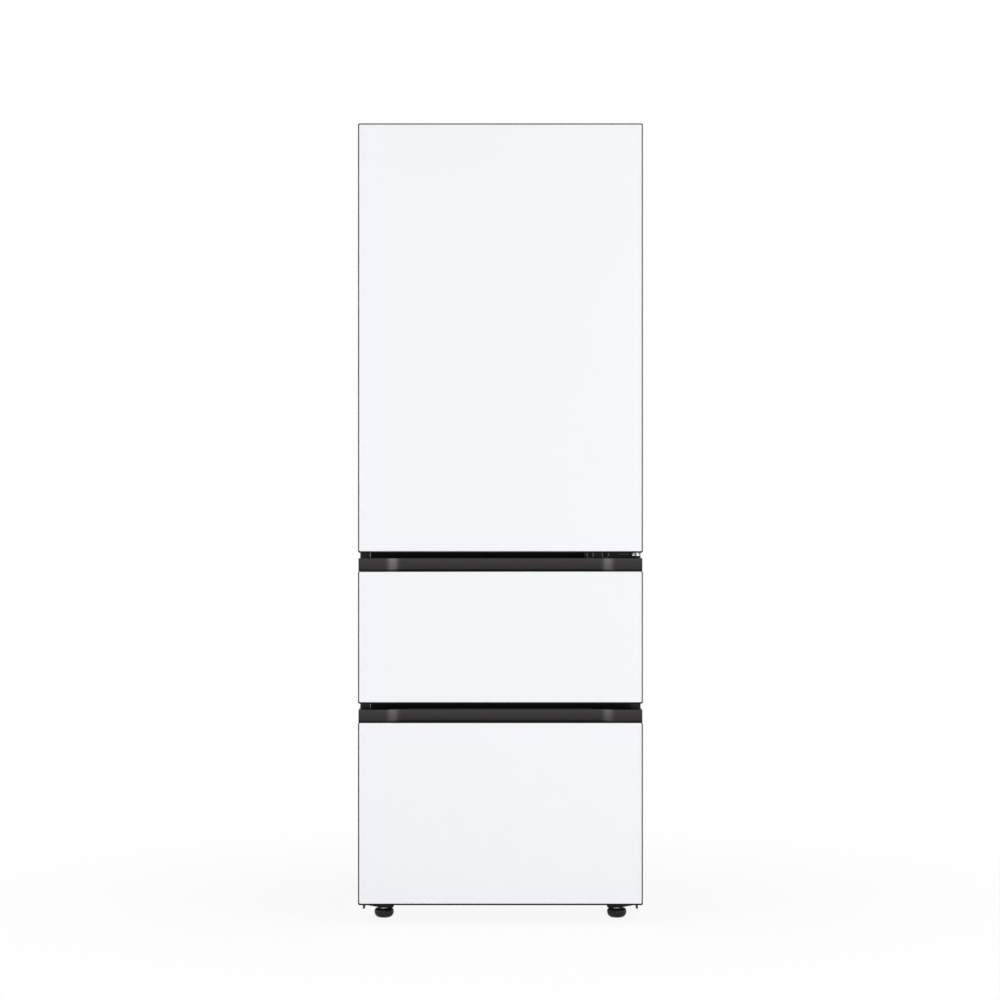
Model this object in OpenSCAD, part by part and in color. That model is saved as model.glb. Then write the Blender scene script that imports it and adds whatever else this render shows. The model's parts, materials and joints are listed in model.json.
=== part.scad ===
// Stand-type kimchi refrigerator: one tall door above two full-width drawers.
// X runs from left to right, Y from front to back and Z up.
// The origin lies on the floor, under the middle of the body.

/* [Overall] */
// Width over the front panels
overall_w = 666; // [540:1:820]
// Depth from the front glass to the tips of the rear spacers
overall_d = 737; // [610:1:900]
// Height from the floor to the top of the door
overall_h = 1870; // [1550:1:2250]

/* [Front panels] */
// Clear height under the lower panel
floor_gap = 42; // [34:1:60]
// Height of the lower drawer's glass panel
lower_panel_h = 427; // [350:1:520]
// Height of the middle drawer's glass panel
middle_panel_h = 310; // [255:1:380]
// Height of each grip strip
grip_h = 30; // [25:1:40]
// Gap between the lower grip strip and the middle panel
lower_gap = 14; // [11:1:20]
// Gap between the middle grip strip and the door
door_gap = 13; // [11:1:22]
// Thickness of a front, with its glass and its inner liner
front_t = 62; // [52:1:76]
// Thickness of the front glass
glass_t = 4; // [3:0.5:6]
// Width of the dark edge at the sides of each glass panel and over the door's
rim_w = 2.5; // [1.5:0.5:5]
// Height of the dark edge under each glass panel
sill_w = 3.5; // [1.5:0.5:5]
// Height of the dark line between a drawer's glass and its grip strip
seam_w = 1; // [0.5:0.5:3]
// Corner radius of the fronts
corner_r = 4; // [2:0.5:8]
// How far the middle of a grip strip is scooped back
scoop_d = 17; // [8:1:22]
// Distance that each end of a grip strip stands back from the fronts' edge
grip_inset = 1; // [0:0.5:2]
// Length from the fronts' edge to the start of a grip strip's curve
flush_w = 57; // [40:1:90]
// Length over which the strip curves back to the scoop
scoop_run = 48; // [20:1:60]
// Depth of the finger pocket in each grip
pocket_depth = 22; // [16:1:26]
// Width of the finger pocket, front to back
pocket_w = 20; // [16:1:24]

/* [Cabinet] */
// Distance that each side wall stands back from the front panels' edge
side_reveal = 1.5; // [0:0.5:6]
// Side wall from the steel case to the room
side_wall = 53.5; // [48:0.5:70]
// Top wall above the upper room
top_wall = 57; // [48:1:75]
// Floor wall under the lower room
floor_wall = 47; // [40:1:60]
// Distance from the edge of a front to the mouth of its room
mouth_margin = 27; // [24:1:34]
// Back wall behind the upper room
upper_back_wall = 62; // [50:1:80]
// Back wall, with its pipes and foam, behind the middle room
middle_back_wall = 168; // [120:1:200]
// Depth of the machine room
machine_d = 187; // [180:1:220]
// Height of the machine room's ceiling above the floor
machine_top_z = 262; // [250:1:300]
// Steel sheet of the case
sheet_t = 1; // [0.8:0.1:1.5]
// Wall of the moulded liners
liner_t = 2; // [1.5:0.5:3]
// Corner radius inside a room
room_r = 25; // [10:1:40]

/* [Seals and hinges] */
// Space between a front and the cabinet that its seal fills
seal_gap = 8; // [6:0.5:10]
// Width of a seal
seal_w = 12; // [10:1:15]
// Distance from the mouth of a room to its seal
seal_inset = 4; // [3:0.5:8]
// Radius of the hinge pins
pin_r = 5; // [4:0.5:6]
// Distance from the door's right edge to the hinge axis
pin_inset = 15; // [14:0.5:18]
// Depth of the hinge axis behind the front glass
pin_depth = 41.5; // [38:0.5:44]

/* [Drawers] */
// Thickness of one telescopic slide
slide_t = 12.7; // [12:0.1:16]
// Height of one telescopic slide
slide_h = 45; // [38:1:52]
// Height of the middle drawer's slides above its room's floor
middle_slide_up = 160; // [150:1:180]
// Height of the lower drawer's slides above its room's floor
lower_slide_up = 235; // [200:1:260]
// Module of the racks and pinions
tooth_module = 2; // [1.5:0.25:2.5]
// Teeth on each pinion
pinion_teeth = 14; // [12:1:16]
// Wall of the moulded bins
bin_t = 3; // [2:0.5:4]
// Height of the middle bin
middle_bin_h = 212; // [190:1:235]
// Height of the lower bin
lower_bin_h = 320; // [290:1:345]

/* [Kimchi containers] */
// Height of the wide containers, without their lids
container_h = 178; // [120:1:190]
// Height of the deep containers, without their lids
deep_container_h = 280; // [200:1:300]
// Wall of a container
container_t = 2.4; // [2:0.2:4]
// Height of a lid
lid_h = 12; // [8:1:16]

/* [Upper room] */
// Thickness of the shelf glass
shelf_t = 4; // [3:0.5:6]
// Depth of a door basket
basket_d = 91; // [70:1:100]
// Height of a door basket
basket_h = 96; // [70:1:130]

/* [Chassis] */
// Radius of a front foot
foot_r = 23; // [18:0.5:24]
// Height of a front foot's knob
foot_h = 26; // [20:1:30]
// Distance of the feet and rollers from the side of the front panels
foot_inset = 57; // [45:1:80]
// Distance of the front feet behind the front glass
foot_back = 91; // [88:1:120]
// Radius of a rear roller
roller_r = 19; // [15:1:20]
// Width of a rear roller
roller_w = 22; // [16:1:26]
// Radius of the compressor's shell
compressor_r = 76; // [65:1:78]
// Height of the compressor's shell
compressor_h = 160; // [140:1:170]
// Height of the drain tray
tray_h = 22; // [14:1:24]
// Depth of the spacers that keep the rear cover off the wall
spacer_d = 10; // [8:1:20]

/* [Hidden] */

$fn = 48;
// A cut runs this far past the face that it opens
past = 1;
// Clearance between parts that only seat on each other
seat = 0.3;
// Radial clearance of a pin or shaft in its bore
run_fit = 0.05;

glass_colour = [0.95, 0.96, 0.97];
graphite = [0.24, 0.23, 0.23];
edge_grey = [0.32, 0.32, 0.33];
moulded_white = [0.93, 0.94, 0.94];
steel_grey = [0.72, 0.73, 0.74];
black_grey = [0.12, 0.12, 0.13];
foam_colour = [0.93, 0.88, 0.72];
container_colour = [0.90, 0.89, 0.84];
lid_colour = [0.62, 0.65, 0.66];
copper = [0.75, 0.45, 0.30];
case_colour = [0.26, 0.26, 0.27];

// Places across, front to back
half_w = overall_w / 2;
front_y = -overall_d / 2;
back_y = overall_d / 2;
inner_liner_t = 2;
liner_inset = 2;
front_back_y = front_y + front_t;
frame_back_y = front_back_y - inner_liner_t;
mouth_y = front_back_y + seal_gap;
case_half = half_w - side_reveal;
case_back_y = back_y - spacer_d;
room_half = case_half - side_wall;
lip_t = 2;
lip_w = 29;
lip_half = room_half + lip_w;

// Heights of the fronts
lower_z0 = floor_gap;
lower_z1 = lower_z0 + lower_panel_h;
lower_top_z = lower_z1 + grip_h;
middle_z0 = lower_top_z + lower_gap;
middle_z1 = middle_z0 + middle_panel_h;
middle_top_z = middle_z1 + grip_h;
door_z0 = middle_top_z + door_gap;
door_z1 = overall_h;

// Heights of the case and its rooms: floor, ceiling and back of each
case_lift = 6;
case_drop = 28;
machine_wall = 41;
case_z0 = floor_gap + case_lift;
case_z1 = overall_h - case_drop;
machine_y = case_back_y - machine_d;
lower_room = [case_z0 + floor_wall, lower_top_z - mouth_margin, machine_y - machine_wall];
middle_room = [middle_z0 + mouth_margin, middle_top_z - mouth_margin, case_back_y - middle_back_wall];
upper_room = [door_z0 + mouth_margin, case_z1 - top_wall, case_back_y - upper_back_wall];
upper_room_h = upper_room[1] - upper_room[0];

// Hinge of the door
pin_x = half_w - pin_inset;
pin_y = front_y + pin_depth;
arm_half = 12;
arm_t = 4;
pocket_z = case_z1 - 1.5;
bush_wall = 3.5;
bush_r = pin_r + bush_wall;
bush_h = 22;
cap_h = 30;
step_drop = 4;
step_z = door_z0 - step_drop;

// Drawer slides, racks and pinions
slide_x = room_half - slide_t;
arm_plate_t = 3.3;
bin_half = slide_x - arm_plate_t;
track_t = 1.4;
track_gap = 0.4;
pitch_r = tooth_module * pinion_teeth / 2;
tooth_pitch = PI * tooth_module;
backlash = 0.25;
shaft_r = 4;
shaft_behind = 20;
tip_gap = 2.5;
pinion_drop = slide_h / 2 + pitch_r + tooth_module + tip_gap;
bin_front_gap = 3.5;
bin_front_y = front_back_y + bin_front_gap;
middle_slide_z = middle_room[0] + middle_slide_up;
lower_slide_z = lower_room[0] + lower_slide_up;
bin_up = 8;

function bin_back(room) = room[2] - 2 * shaft_behind;
function shaft_y(room) = bin_back(room) + shaft_behind;

// Upper room
duct_d = 74;
duct_y = upper_room[2] - duct_d;
spine_d = 20;
swing_gap = 39;
shelf_front_y = front_back_y + basket_d + swing_gap;
shelf_back_y = duct_y - spine_d - 4;
ledge_w = 10;
ledge_h = 8;
hand_gap = 10;
ceiling_gap = 24;
trim_d = 12;
dike_gap = 12;
dike_half = room_half - dike_gap;
dike_wall = 12;
dike_d = 24.5;
basket_count = 3;
basket_up = 40;
basket_pitch = (upper_room_h - basket_up - dike_gap - dike_wall) / basket_count;

// As many levels as leave room for a lidded container and a hand on each
level_count = floor((upper_room_h - ceiling_gap) / (shelf_t + container_h + lid_h + ledge_h + hand_gap));
level_pitch = (upper_room_h - ceiling_gap) / level_count;
shelf_count = level_count - 1;
container_levels = min(2, level_count);

function level_z(i) = upper_room[0] + i * level_pitch;
function basket_z(i) = upper_room[0] + basket_up + i * basket_pitch;

// Containers
lid_wing_t = 3.2;
container_gap = 9;
rim_out = 6;
container_w = bin_half - bin_t - container_gap - 4;
container_setback = 20;
upper_container_d = shelf_back_y - shelf_front_y - container_setback - 14;

// Feet and rollers
foot_x = half_w - foot_inset;
foot_y = front_y + foot_back;
bracket_drop = 21.5;
bracket_rise = 6;
stud_r = 5;
roller_x = foot_x - 6;
roller_y = case_back_y - 60;
axle_r = 4;

// Machinery
compressor_x = 0.45 * case_half;
compressor_y = (machine_y + case_back_y) / 2 + 2;
plate_t = 2;
mount_h = 14;
shell_plate_t = 3;
shell_dome = 42;
tray_z = case_z0 + plate_t + mount_h + shell_plate_t + compressor_h + seat;
drain_r = 7;
drain_wall = 2;
drain_drop = 8;
drain_flange = 2;
condenser_fan_x = -56;
condenser_fan_z = 148;
condenser_fan_r = 62;
evaporator_fan_z = upper_room[0] + 355;
evaporator_fan_r = 56;
motor_r = 26;
blade_t = 2;
cover_inset = 14;
gland_inset = 34;
gland_up = 22;
gland_r = 9;

// ---- helpers ----

module block(low, high) {
    translate(low)
        cube(high - low);
}

// Draws its children and their mirror image in the YZ plane
module both_sides() {
    children();
    mirror([1, 0, 0])
        children();
}

// Rounded rectangle between two corners, from true arcs
module round_rect(low, high, r) {
    translate(low + [r, 0])
        square([high[0] - low[0] - 2 * r, high[1] - low[1]]);
    translate(low + [0, r])
        square([high[0] - low[0], high[1] - low[1] - 2 * r]);
    for (x = [low[0] + r, high[0] - r], y = [low[1] + r, high[1] - r])
        translate([x, y])
            circle(r);
}

// Stands a drawing in the XZ plane and gives it a depth from y0 to y1
module upright(y0, y1) {
    translate([0, y1, 0])
        rotate([90, 0, 0])
            linear_extrude(y1 - y0)
                children();
}

// Stands a drawing in the YZ plane and gives it a width from x0 to x1
module sideways(x0, x1) {
    translate([x0, 0, 0])
        rotate([90, 0, 90])
            linear_extrude(x1 - x0)
                children();
}

// Cylinder along X, and along Y
module rod_x(x0, x1, r) {
    translate([x0, 0, 0])
        rotate([0, 90, 0])
            cylinder(h = x1 - x0, r = r);
}

module rod_y(y0, y1, r) {
    translate([0, y0, 0])
        rotate([-90, 0, 0])
            cylinder(h = y1 - y0, r = r);
}

// Half ring of tube that bulges along +X from the origin's X, between two rows a gap apart in Z
module return_bend(gap, tube_r) {
    rotate([90, -90, 0])
        rotate_extrude(angle = 180)
            translate([gap / 2, 0])
                circle(tube_r);
}

// ---- fronts ----

// Outline of a glass panel inside its dark edge
module glass_outline(z0, z1, top_edge) {
    round_rect([-half_w + rim_w, z0 + sill_w], [half_w - rim_w, z1 - top_edge], corner_r - rim_w / 2);
}

module glass_panel(z0, z1, top_edge) {
    color(glass_colour)
        upright(front_y, front_y + glass_t)
            glass_outline(z0, z1, top_edge);
}

// Foamed front with a rim that holds the glass
module front_shell(z0, z1, top_edge) {
    difference() {
        upright(front_y, frame_back_y)
            round_rect([-half_w, z0], [half_w, z1], corner_r);
        upright(front_y - past, front_y + glass_t)
            glass_outline(z0, z1, top_edge);
    }
}

module drawer_frame(z0, z1) {
    color(edge_grey)
        front_shell(z0, z1, seam_w);
}

pocket_half = half_w - flush_w - scoop_run - 10;

// Share of the scoop's depth at t, from 0 at the flush end to 1 in the scoop
function scoop_share(t) = (1 - cos(180 * t)) / 2;

// Outline of a grip strip seen from above: flush ends, a curve on each side and a scooped middle
function grip_outline() =
    let (steps = 12, flush_x = half_w - flush_w, end_x = half_w - grip_inset)
    concat(
        [[-end_x, frame_back_y], [-end_x, front_y]],
        [for (i = [0 : steps])
            [-flush_x + scoop_run * i / steps, front_y + scoop_d * scoop_share(i / steps)]],
        [for (i = [steps : -1 : 0])
            [flush_x - scoop_run * i / steps, front_y + scoop_d * scoop_share(i / steps)]],
        [[end_x, front_y], [end_x, frame_back_y]]
    );

// Grip strip on top of a drawer front, with a finger pocket behind its lip
module grip_strip(z0) {
    lip = 9;
    pocket_y = front_y + scoop_d + lip;
    color(graphite)
        difference() {
            translate([0, 0, z0])
                linear_extrude(grip_h)
                    polygon(grip_outline());
            translate([0, 0, z0 + grip_h - pocket_depth])
                linear_extrude(pocket_depth + past)
                    round_rect([-pocket_half, pocket_y], [pocket_half, pocket_y + pocket_w], 8);
        }
}

// Thin plate that closes the back of a front
module front_liner(z0, z1) {
    color(moulded_white)
        upright(frame_back_y, front_back_y)
            round_rect([-half_w + liner_inset, z0 + liner_inset],
                       [half_w - liner_inset, z1 - liner_inset], corner_r);
}

module seal_ring(room) {
    outer = seal_inset + seal_w;
    color([0.80, 0.81, 0.82])
        upright(front_back_y, mouth_y - seat)
            difference() {
                round_rect([-room_half - outer, room[0] - outer], [room_half + outer, room[1] + outer], 14);
                round_rect([-room_half - seal_inset, room[0] - seal_inset],
                           [room_half + seal_inset, room[1] + seal_inset], 6);
            }
}

// ---- door ----

module hinge_notch() {
    block([pin_x - arm_half - 2, pin_y - 2 * arm_half, pocket_z], [half_w + past, mouth_y, door_z1 + past]);
}

module bush_bores() {
    translate([pin_x, pin_y, pocket_z - bush_h])
        cylinder(h = bush_h + past, r = bush_r);
    translate([pin_x, pin_y, door_z0 - past])
        cylinder(h = bush_h + past, r = bush_r);
}

module door_glass() {
    glass_panel(door_z0, door_z1, rim_w);
}

module door_frame() {
    color(edge_grey)
        difference() {
            front_shell(door_z0, door_z1, rim_w);
            block([-half_w - past, front_y - past, door_z0 - past],
                  [half_w + past, front_back_y, door_z0 + cap_h]);
            hinge_notch();
            bush_bores();
        }
}

// Bottom cap of the door, with its own finger pocket
module door_grip_cap() {
    pocket_y = front_y + glass_t + 8;
    color(graphite)
        difference() {
            front_shell(door_z0, door_z1, rim_w);
            block([-half_w - past, front_y - past, door_z0 + cap_h],
                  [half_w + past, front_back_y, door_z1 + past]);
            translate([0, 0, door_z0 - past])
                linear_extrude(pocket_depth + past)
                    round_rect([-pocket_half, pocket_y], [pocket_half, pocket_y + pocket_w + 4], 8);
            bush_bores();
        }
}

// Inner liner of the door: a flat flange, a raised dike inside the seal and pegs for the baskets
module door_liner() {
    peg_w = 8;
    peg_h = 12;
    dike_low = upper_room[0] + dike_gap;
    dike_high = upper_room[1] - dike_gap;
    color(moulded_white)
        difference() {
            union() {
                front_liner(door_z0, door_z1);
                upright(front_back_y, front_back_y + dike_d)
                    difference() {
                        round_rect([-dike_half, dike_low], [dike_half, dike_high], 22);
                        round_rect([-dike_half + dike_wall, dike_low + dike_wall],
                                   [dike_half - dike_wall, dike_high - dike_wall], 12);
                    }
                for (i = [0 : basket_count - 1])
                    both_sides()
                        block([dike_half - dike_wall - peg_w, front_back_y, basket_z(i) - peg_h],
                              [dike_half - dike_wall, front_back_y + dike_d, basket_z(i)]);
            }
            hinge_notch();
        }
}

module door_seal() {
    seal_ring(upper_room);
}

// Seen from above: square at the door, round corners towards the room
module basket_plan(half, depth, r) {
    translate([-half, 0])
        square([2 * half, depth - r]);
    translate([-half + r, 0])
        square([2 * half - 2 * r, depth]);
    for (s = [-1, 1])
        translate([s * (half - r), depth - r])
            circle(r);
}

// Baskets with sloping ends and a dipped front wall
module door_baskets() {
    wall = 2.5;
    half = dike_half - dike_wall - seat;
    r = 22;
    dip = 34;
    color([0.88, 0.91, 0.93])
        for (i = [0 : basket_count - 1])
            translate([0, front_back_y + seat, basket_z(i)])
                difference() {
                    linear_extrude(basket_h)
                        basket_plan(half, basket_d, r);
                    translate([0, wall, wall])
                        linear_extrude(basket_h)
                            basket_plan(half - wall, basket_d - 2 * wall, r - wall);
                    sideways(-half - past, half + past)
                        polygon([[14, basket_h + past], [basket_d + past, basket_h + past],
                                 [basket_d + past, basket_h - dip], [basket_d - 30, basket_h - dip],
                                 [22, basket_h - 6]]);
                }
}

module door_bushes() {
    color(black_grey)
        for (z = [pocket_z - bush_h, door_z0])
            translate([pin_x, pin_y, z])
                difference() {
                    cylinder(h = bush_h, r = bush_r);
                    translate([0, 0, -past])
                        cylinder(h = bush_h + 2 * past, r = pin_r + run_fit);
                }
}

// ---- drawers ----

function bin_floor(room) = room[0] + bin_up;

// Moulded bin with a dip at each end to lift the containers
module drawer_bin(room, height) {
    r = 22;
    z0 = bin_floor(room);
    dip_r = 60;
    dip_d = 24;
    color(moulded_white)
        difference() {
            translate([0, 0, z0])
                linear_extrude(height)
                    round_rect([-bin_half, bin_front_y], [bin_half, bin_back(room)], r);
            translate([0, 0, z0 + bin_t])
                linear_extrude(height)
                    round_rect([-bin_half + bin_t, bin_front_y + bin_t],
                               [bin_half - bin_t, bin_back(room) - bin_t], r - bin_t);
            translate([0, 0, z0 + height + dip_r - dip_d])
                rod_y(bin_front_y - past, bin_back(room) + past, dip_r);
        }
}

// One channel of a slide on the right-hand side: web at one face, two flanges
module channel(x0, x1, half_h, y0, y1, z, web_outside) {
    open_x0 = web_outside ? x0 - past : x0 + track_t;
    open_x1 = web_outside ? x1 - track_t : x1 + past;
    difference() {
        block([x0, y0, z - half_h], [x1, y1, z + half_h]);
        block([open_x0, y0 - past, z - half_h + track_t], [open_x1, y1 + past, z + half_h - track_t]);
    }
}

module fixed_slide(room, z) {
    both_sides()
        channel(slide_x + 1.2, room_half, slide_h / 2, mouth_y + 8, bin_back(room) + 30, z, true);
}

module telescopic_slide(room, z) {
    color(steel_grey)
        both_sides()
            channel(slide_x + 2.2, room_half - 3, slide_h / 2 - track_t - track_gap,
                    mouth_y + 10, bin_back(room) + 12, z, true);
}

// Inner slide member, side plate, front lug and shaft bearing of a drawer
module runners(room, z) {
    lug_w = 26;
    lug_t = 3;
    inner_half = slide_h / 2 - 2 * (track_t + track_gap);
    shaft_z = z - pinion_drop;
    plate_z = z - 36;
    boss = 12;
    color(steel_grey)
        both_sides()
            difference() {
                union() {
                    channel(slide_x, room_half - 6, inner_half, bin_front_y, bin_back(room), z, false);
                    sideways(bin_half, slide_x)
                        polygon([[front_back_y, z + inner_half], [front_back_y, plate_z],
                                 [bin_back(room) - 30, plate_z],
                                 [shaft_y(room) - boss, shaft_z - 10], [shaft_y(room) + boss, shaft_z - 10],
                                 [shaft_y(room) + boss, z + 4], [bin_back(room), z + inner_half]]);
                    block([bin_half - lug_w, front_back_y, plate_z],
                          [bin_half, front_back_y + lug_t, z + inner_half]);
                }
                translate([0, shaft_y(room), shaft_z])
                    rod_x(bin_half - past, slide_x + past, shaft_r + run_fit);
            }
}

// Points of one rack tooth, its crest cut short so that the small pinion clears it
function rack_tooth(y, z) =
    let (crest = 0.8 * tooth_module, root = 1.25 * tooth_module, half = tooth_pitch / 4 - backlash / 2)
    [[y - half - root * tan(20), z - root], [y - half + crest * tan(20), z + crest],
     [y + half - crest * tan(20), z + crest], [y + half + root * tan(20), z - root]];

// Racks under the slides; a gap between teeth stands below the shaft at rest
module rack_pair(room, z) {
    pitch_z = z - pinion_drop - pitch_r;
    base = 8;
    back = floor((room[2] - 4 - shaft_y(room)) / tooth_pitch) - 1;
    front = floor((shaft_y(room) - mouth_y - 14) / tooth_pitch);
    y1 = shaft_y(room) + (back + 1) * tooth_pitch;
    y0 = shaft_y(room) - (front + 1) * tooth_pitch;
    both_sides()
        sideways(slide_x + 3.6, room_half)
            polygon(concat([[y0, pitch_z - base]],
                           [[y0, pitch_z - 1.25 * tooth_module]],
                           [for (i = [-front : back])
                               each rack_tooth(shaft_y(room) + (i - 0.5) * tooth_pitch, pitch_z)],
                           [[y1, pitch_z - 1.25 * tooth_module]],
                           [[y1, pitch_z - base]]));
}

// Involute flank: half angle of a tooth at radius r
function tooth_half_angle(r) =
    let (base_r = pitch_r * cos(20), rr = max(r, base_r),
         at_pitch = tan(20) * 180 / PI - 20,
         a = acos(base_r / rr),
         at_r = tan(a) * 180 / PI - a)
    90 / pinion_teeth - (backlash / 2) / pitch_r * 180 / PI + at_pitch - at_r;

function pinion_points() =
    let (root = pitch_r - 1.25 * tooth_module, tip = pitch_r + tooth_module, steps = 3)
    [for (i = [0 : pinion_teeth - 1])
        let (centre = -90 + i * 360 / pinion_teeth)
        each concat(
            [for (k = [0 : steps])
                let (r = root + (tip - root) * k / steps, a = centre - tooth_half_angle(r))
                [r * cos(a), r * sin(a)]],
            [for (k = [steps : -1 : 0])
                let (r = root + (tip - root) * k / steps, a = centre + tooth_half_angle(r))
                [r * cos(a), r * sin(a)]])];

// Cross shaft with a pinion at each end, which keeps both sides of a drawer level
module pinion_shaft(room, z) {
    gap = 0.6;
    color([0.85, 0.85, 0.82])
        translate([0, shaft_y(room), z - pinion_drop]) {
            rod_x(-slide_x - 4, slide_x + 4, shaft_r);
            both_sides()
                sideways(slide_x + 3.6, room_half - gap)
                    polygon(pinion_points());
        }
}

// ---- kimchi containers ----

// Open container with a flanged rim and a stepped foot
module container(w, d, h) {
    r = 26;
    rim_h = 7;
    foot_in = 5;
    foot_rise = 10;
    inner = rim_out + container_t;
    difference() {
        union() {
            linear_extrude(foot_rise)
                round_rect([rim_out + foot_in, rim_out + foot_in],
                           [w - rim_out - foot_in, d - rim_out - foot_in], r);
            translate([0, 0, foot_rise])
                linear_extrude(h - foot_rise)
                    round_rect([rim_out, rim_out], [w - rim_out, d - rim_out], r);
            translate([0, 0, h - rim_h])
                linear_extrude(rim_h)
                    round_rect([0, 0], [w, d], r + rim_out);
        }
        translate([0, 0, container_t])
            linear_extrude(foot_rise)
                round_rect([inner + foot_in, inner + foot_in],
                           [w - inner - foot_in, d - inner - foot_in], r - container_t);
        translate([0, 0, foot_rise + container_t])
            linear_extrude(h)
                round_rect([inner, inner], [w - inner, d - inner], r - container_t);
    }
}

// Lid with a sunk centre, a raised ring and a locking wing on each side
module lid(w, d) {
    r = 30;
    wing_w = 74;
    wing_drop = 20;
    sunk = 5;
    skin = 3;
    difference() {
        linear_extrude(lid_h)
            round_rect([0, 0], [w, d], r);
        translate([0, 0, lid_h - sunk])
            linear_extrude(sunk + past)
                round_rect([24, 24], [w - 24, d - 24], r - 12);
        translate([0, 0, -past])
            linear_extrude(past + lid_h - sunk - skin)
                round_rect([14, 14], [w - 14, d - 14], r - 8);
    }
    for (x = [-lid_wing_t, w])
        block([x, d / 2 - wing_w / 2, -wing_drop], [x + lid_wing_t, d / 2 + wing_w / 2, lid_h - 2]);
    for (y = [-lid_wing_t, d])
        block([w / 2 - wing_w / 2, y, -wing_drop], [w / 2 + wing_w / 2, y + lid_wing_t, lid_h - 2]);
}

// Two places side by side; each child is drawn at a container's near left corner
module pair(y, z) {
    for (x = [-container_w - container_gap / 2, container_gap / 2])
        translate([x, y, z])
            children();
}

function drawer_container_d(room) = bin_back(room) - bin_front_y - 2 * bin_t - 2 * (lid_wing_t + 3);
function drawer_container_y(room) = bin_front_y + bin_t + lid_wing_t + 3;

module drawer_containers(room, h) {
    color(container_colour)
        pair(drawer_container_y(room), bin_floor(room) + bin_t)
            container(container_w, drawer_container_d(room), h);
}

module drawer_lids(room, h) {
    color(lid_colour)
        pair(drawer_container_y(room), bin_floor(room) + bin_t + h)
            lid(container_w, drawer_container_d(room));
}

// ---- cabinet ----

// Space inside a room
module room_space(room) {
    upright(mouth_y - past, room[2])
        round_rect([-room_half, room[0]], [room_half, room[1]], room_r);
}

// Outside of a room's liner
module liner_block(room, grow) {
    g = liner_t + grow;
    block([-room_half - g, mouth_y, room[0] - g], [room_half + g, room[2] + g, room[1] + g]);
}

module liner(room) {
    difference() {
        union() {
            liner_block(room, 0);
            block([-lip_half, mouth_y, room[0] - liner_t], [lip_half, mouth_y + lip_t, room[1] + liner_t]);
        }
        room_space(room);
    }
}

module upper_liner() {
    color(moulded_white) {
        difference() {
            liner(upper_room);
            drain_way(drain_r + seat);
        }
        for (i = [1 : shelf_count])
            both_sides()
                block([room_half - ledge_w, shelf_front_y, level_z(i) - ledge_h],
                      [room_half, shelf_back_y, level_z(i)]);
    }
}

module middle_liner() {
    color(moulded_white)
        liner(middle_room);
}

module lower_liner() {
    color(moulded_white)
        liner(lower_room);
}

// Sides and top folded from one sheet, with a hemmed flange round the front
module outer_case() {
    color(case_colour)
        difference() {
            block([-case_half, mouth_y, case_z0], [case_half, case_back_y - sheet_t, case_z1]);
            block([-case_half + sheet_t, mouth_y + lip_t, case_z0 - past],
                  [case_half - sheet_t, case_back_y, case_z1 - sheet_t]);
            block([-lip_half, mouth_y - past, case_z0 - past],
                  [lip_half, mouth_y + lip_t + past, upper_room[1] + liner_t]);
        }
}

// Back sheet with pressed stiffening beads
module cabinet_back() {
    bead_w = 22;
    bead_d = 1.6;
    bead_end = 90;
    beads = 4;
    inner = case_half - sheet_t;
    span = 2 * inner / (beads + 1);
    color(steel_grey) {
        block([-case_half, case_back_y - sheet_t, machine_top_z], [case_half, case_back_y, case_z1]);
        for (i = [1 : beads])
            translate([-inner + i * span, 0, 0])
                upright(case_back_y, case_back_y + bead_d)
                    round_rect([-bead_w / 2, machine_top_z + bead_end],
                               [bead_w / 2, case_z1 - bead_end], bead_w / 2 - 0.5);
    }
}

// Bottom sheet that steps up over the machine room, with the compressor's plate
module base_pan() {
    inner = case_half - sheet_t;
    front = mouth_y + lip_t;
    back = case_back_y - sheet_t;
    color(steel_grey)
        difference() {
            sideways(-inner, inner)
                polygon([[front, case_z0], [back, case_z0], [back, case_z0 + plate_t],
                         [machine_y, case_z0 + plate_t], [machine_y, machine_top_z - sheet_t],
                         [back, machine_top_z - sheet_t], [back, machine_top_z],
                         [machine_y - sheet_t, machine_top_z], [machine_y - sheet_t, case_z0 + sheet_t],
                         [front, case_z0 + sheet_t]]);
            drain_way(drain_r + seat);
        }
}

module foam_insulation() {
    color(foam_colour)
        difference() {
            block([-case_half + sheet_t, mouth_y + lip_t, case_z0 + sheet_t],
                  [case_half - sheet_t, case_back_y - sheet_t, case_z1 - sheet_t]);
            for (room = [lower_room, middle_room, upper_room])
                liner_block(room, 0);
            block([-case_half, machine_y - sheet_t, case_z0], [case_half, case_back_y, machine_top_z]);
            drain_way(drain_r + seat);
        }
}

// Front cross plates between the rooms and under the lower one
module front_mullions() {
    spans = [[case_z0, lower_room[0]], [lower_room[1], middle_room[0]], [middle_room[1], upper_room[0]]];
    color(black_grey)
        for (i = [0 : len(spans) - 1]) {
            low = i == 0 ? spans[i][0] : spans[i][0] + liner_t;
            block([-lip_half, mouth_y, low], [lip_half, mouth_y + lip_t, spans[i][1] - liner_t]);
        }
}

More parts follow.
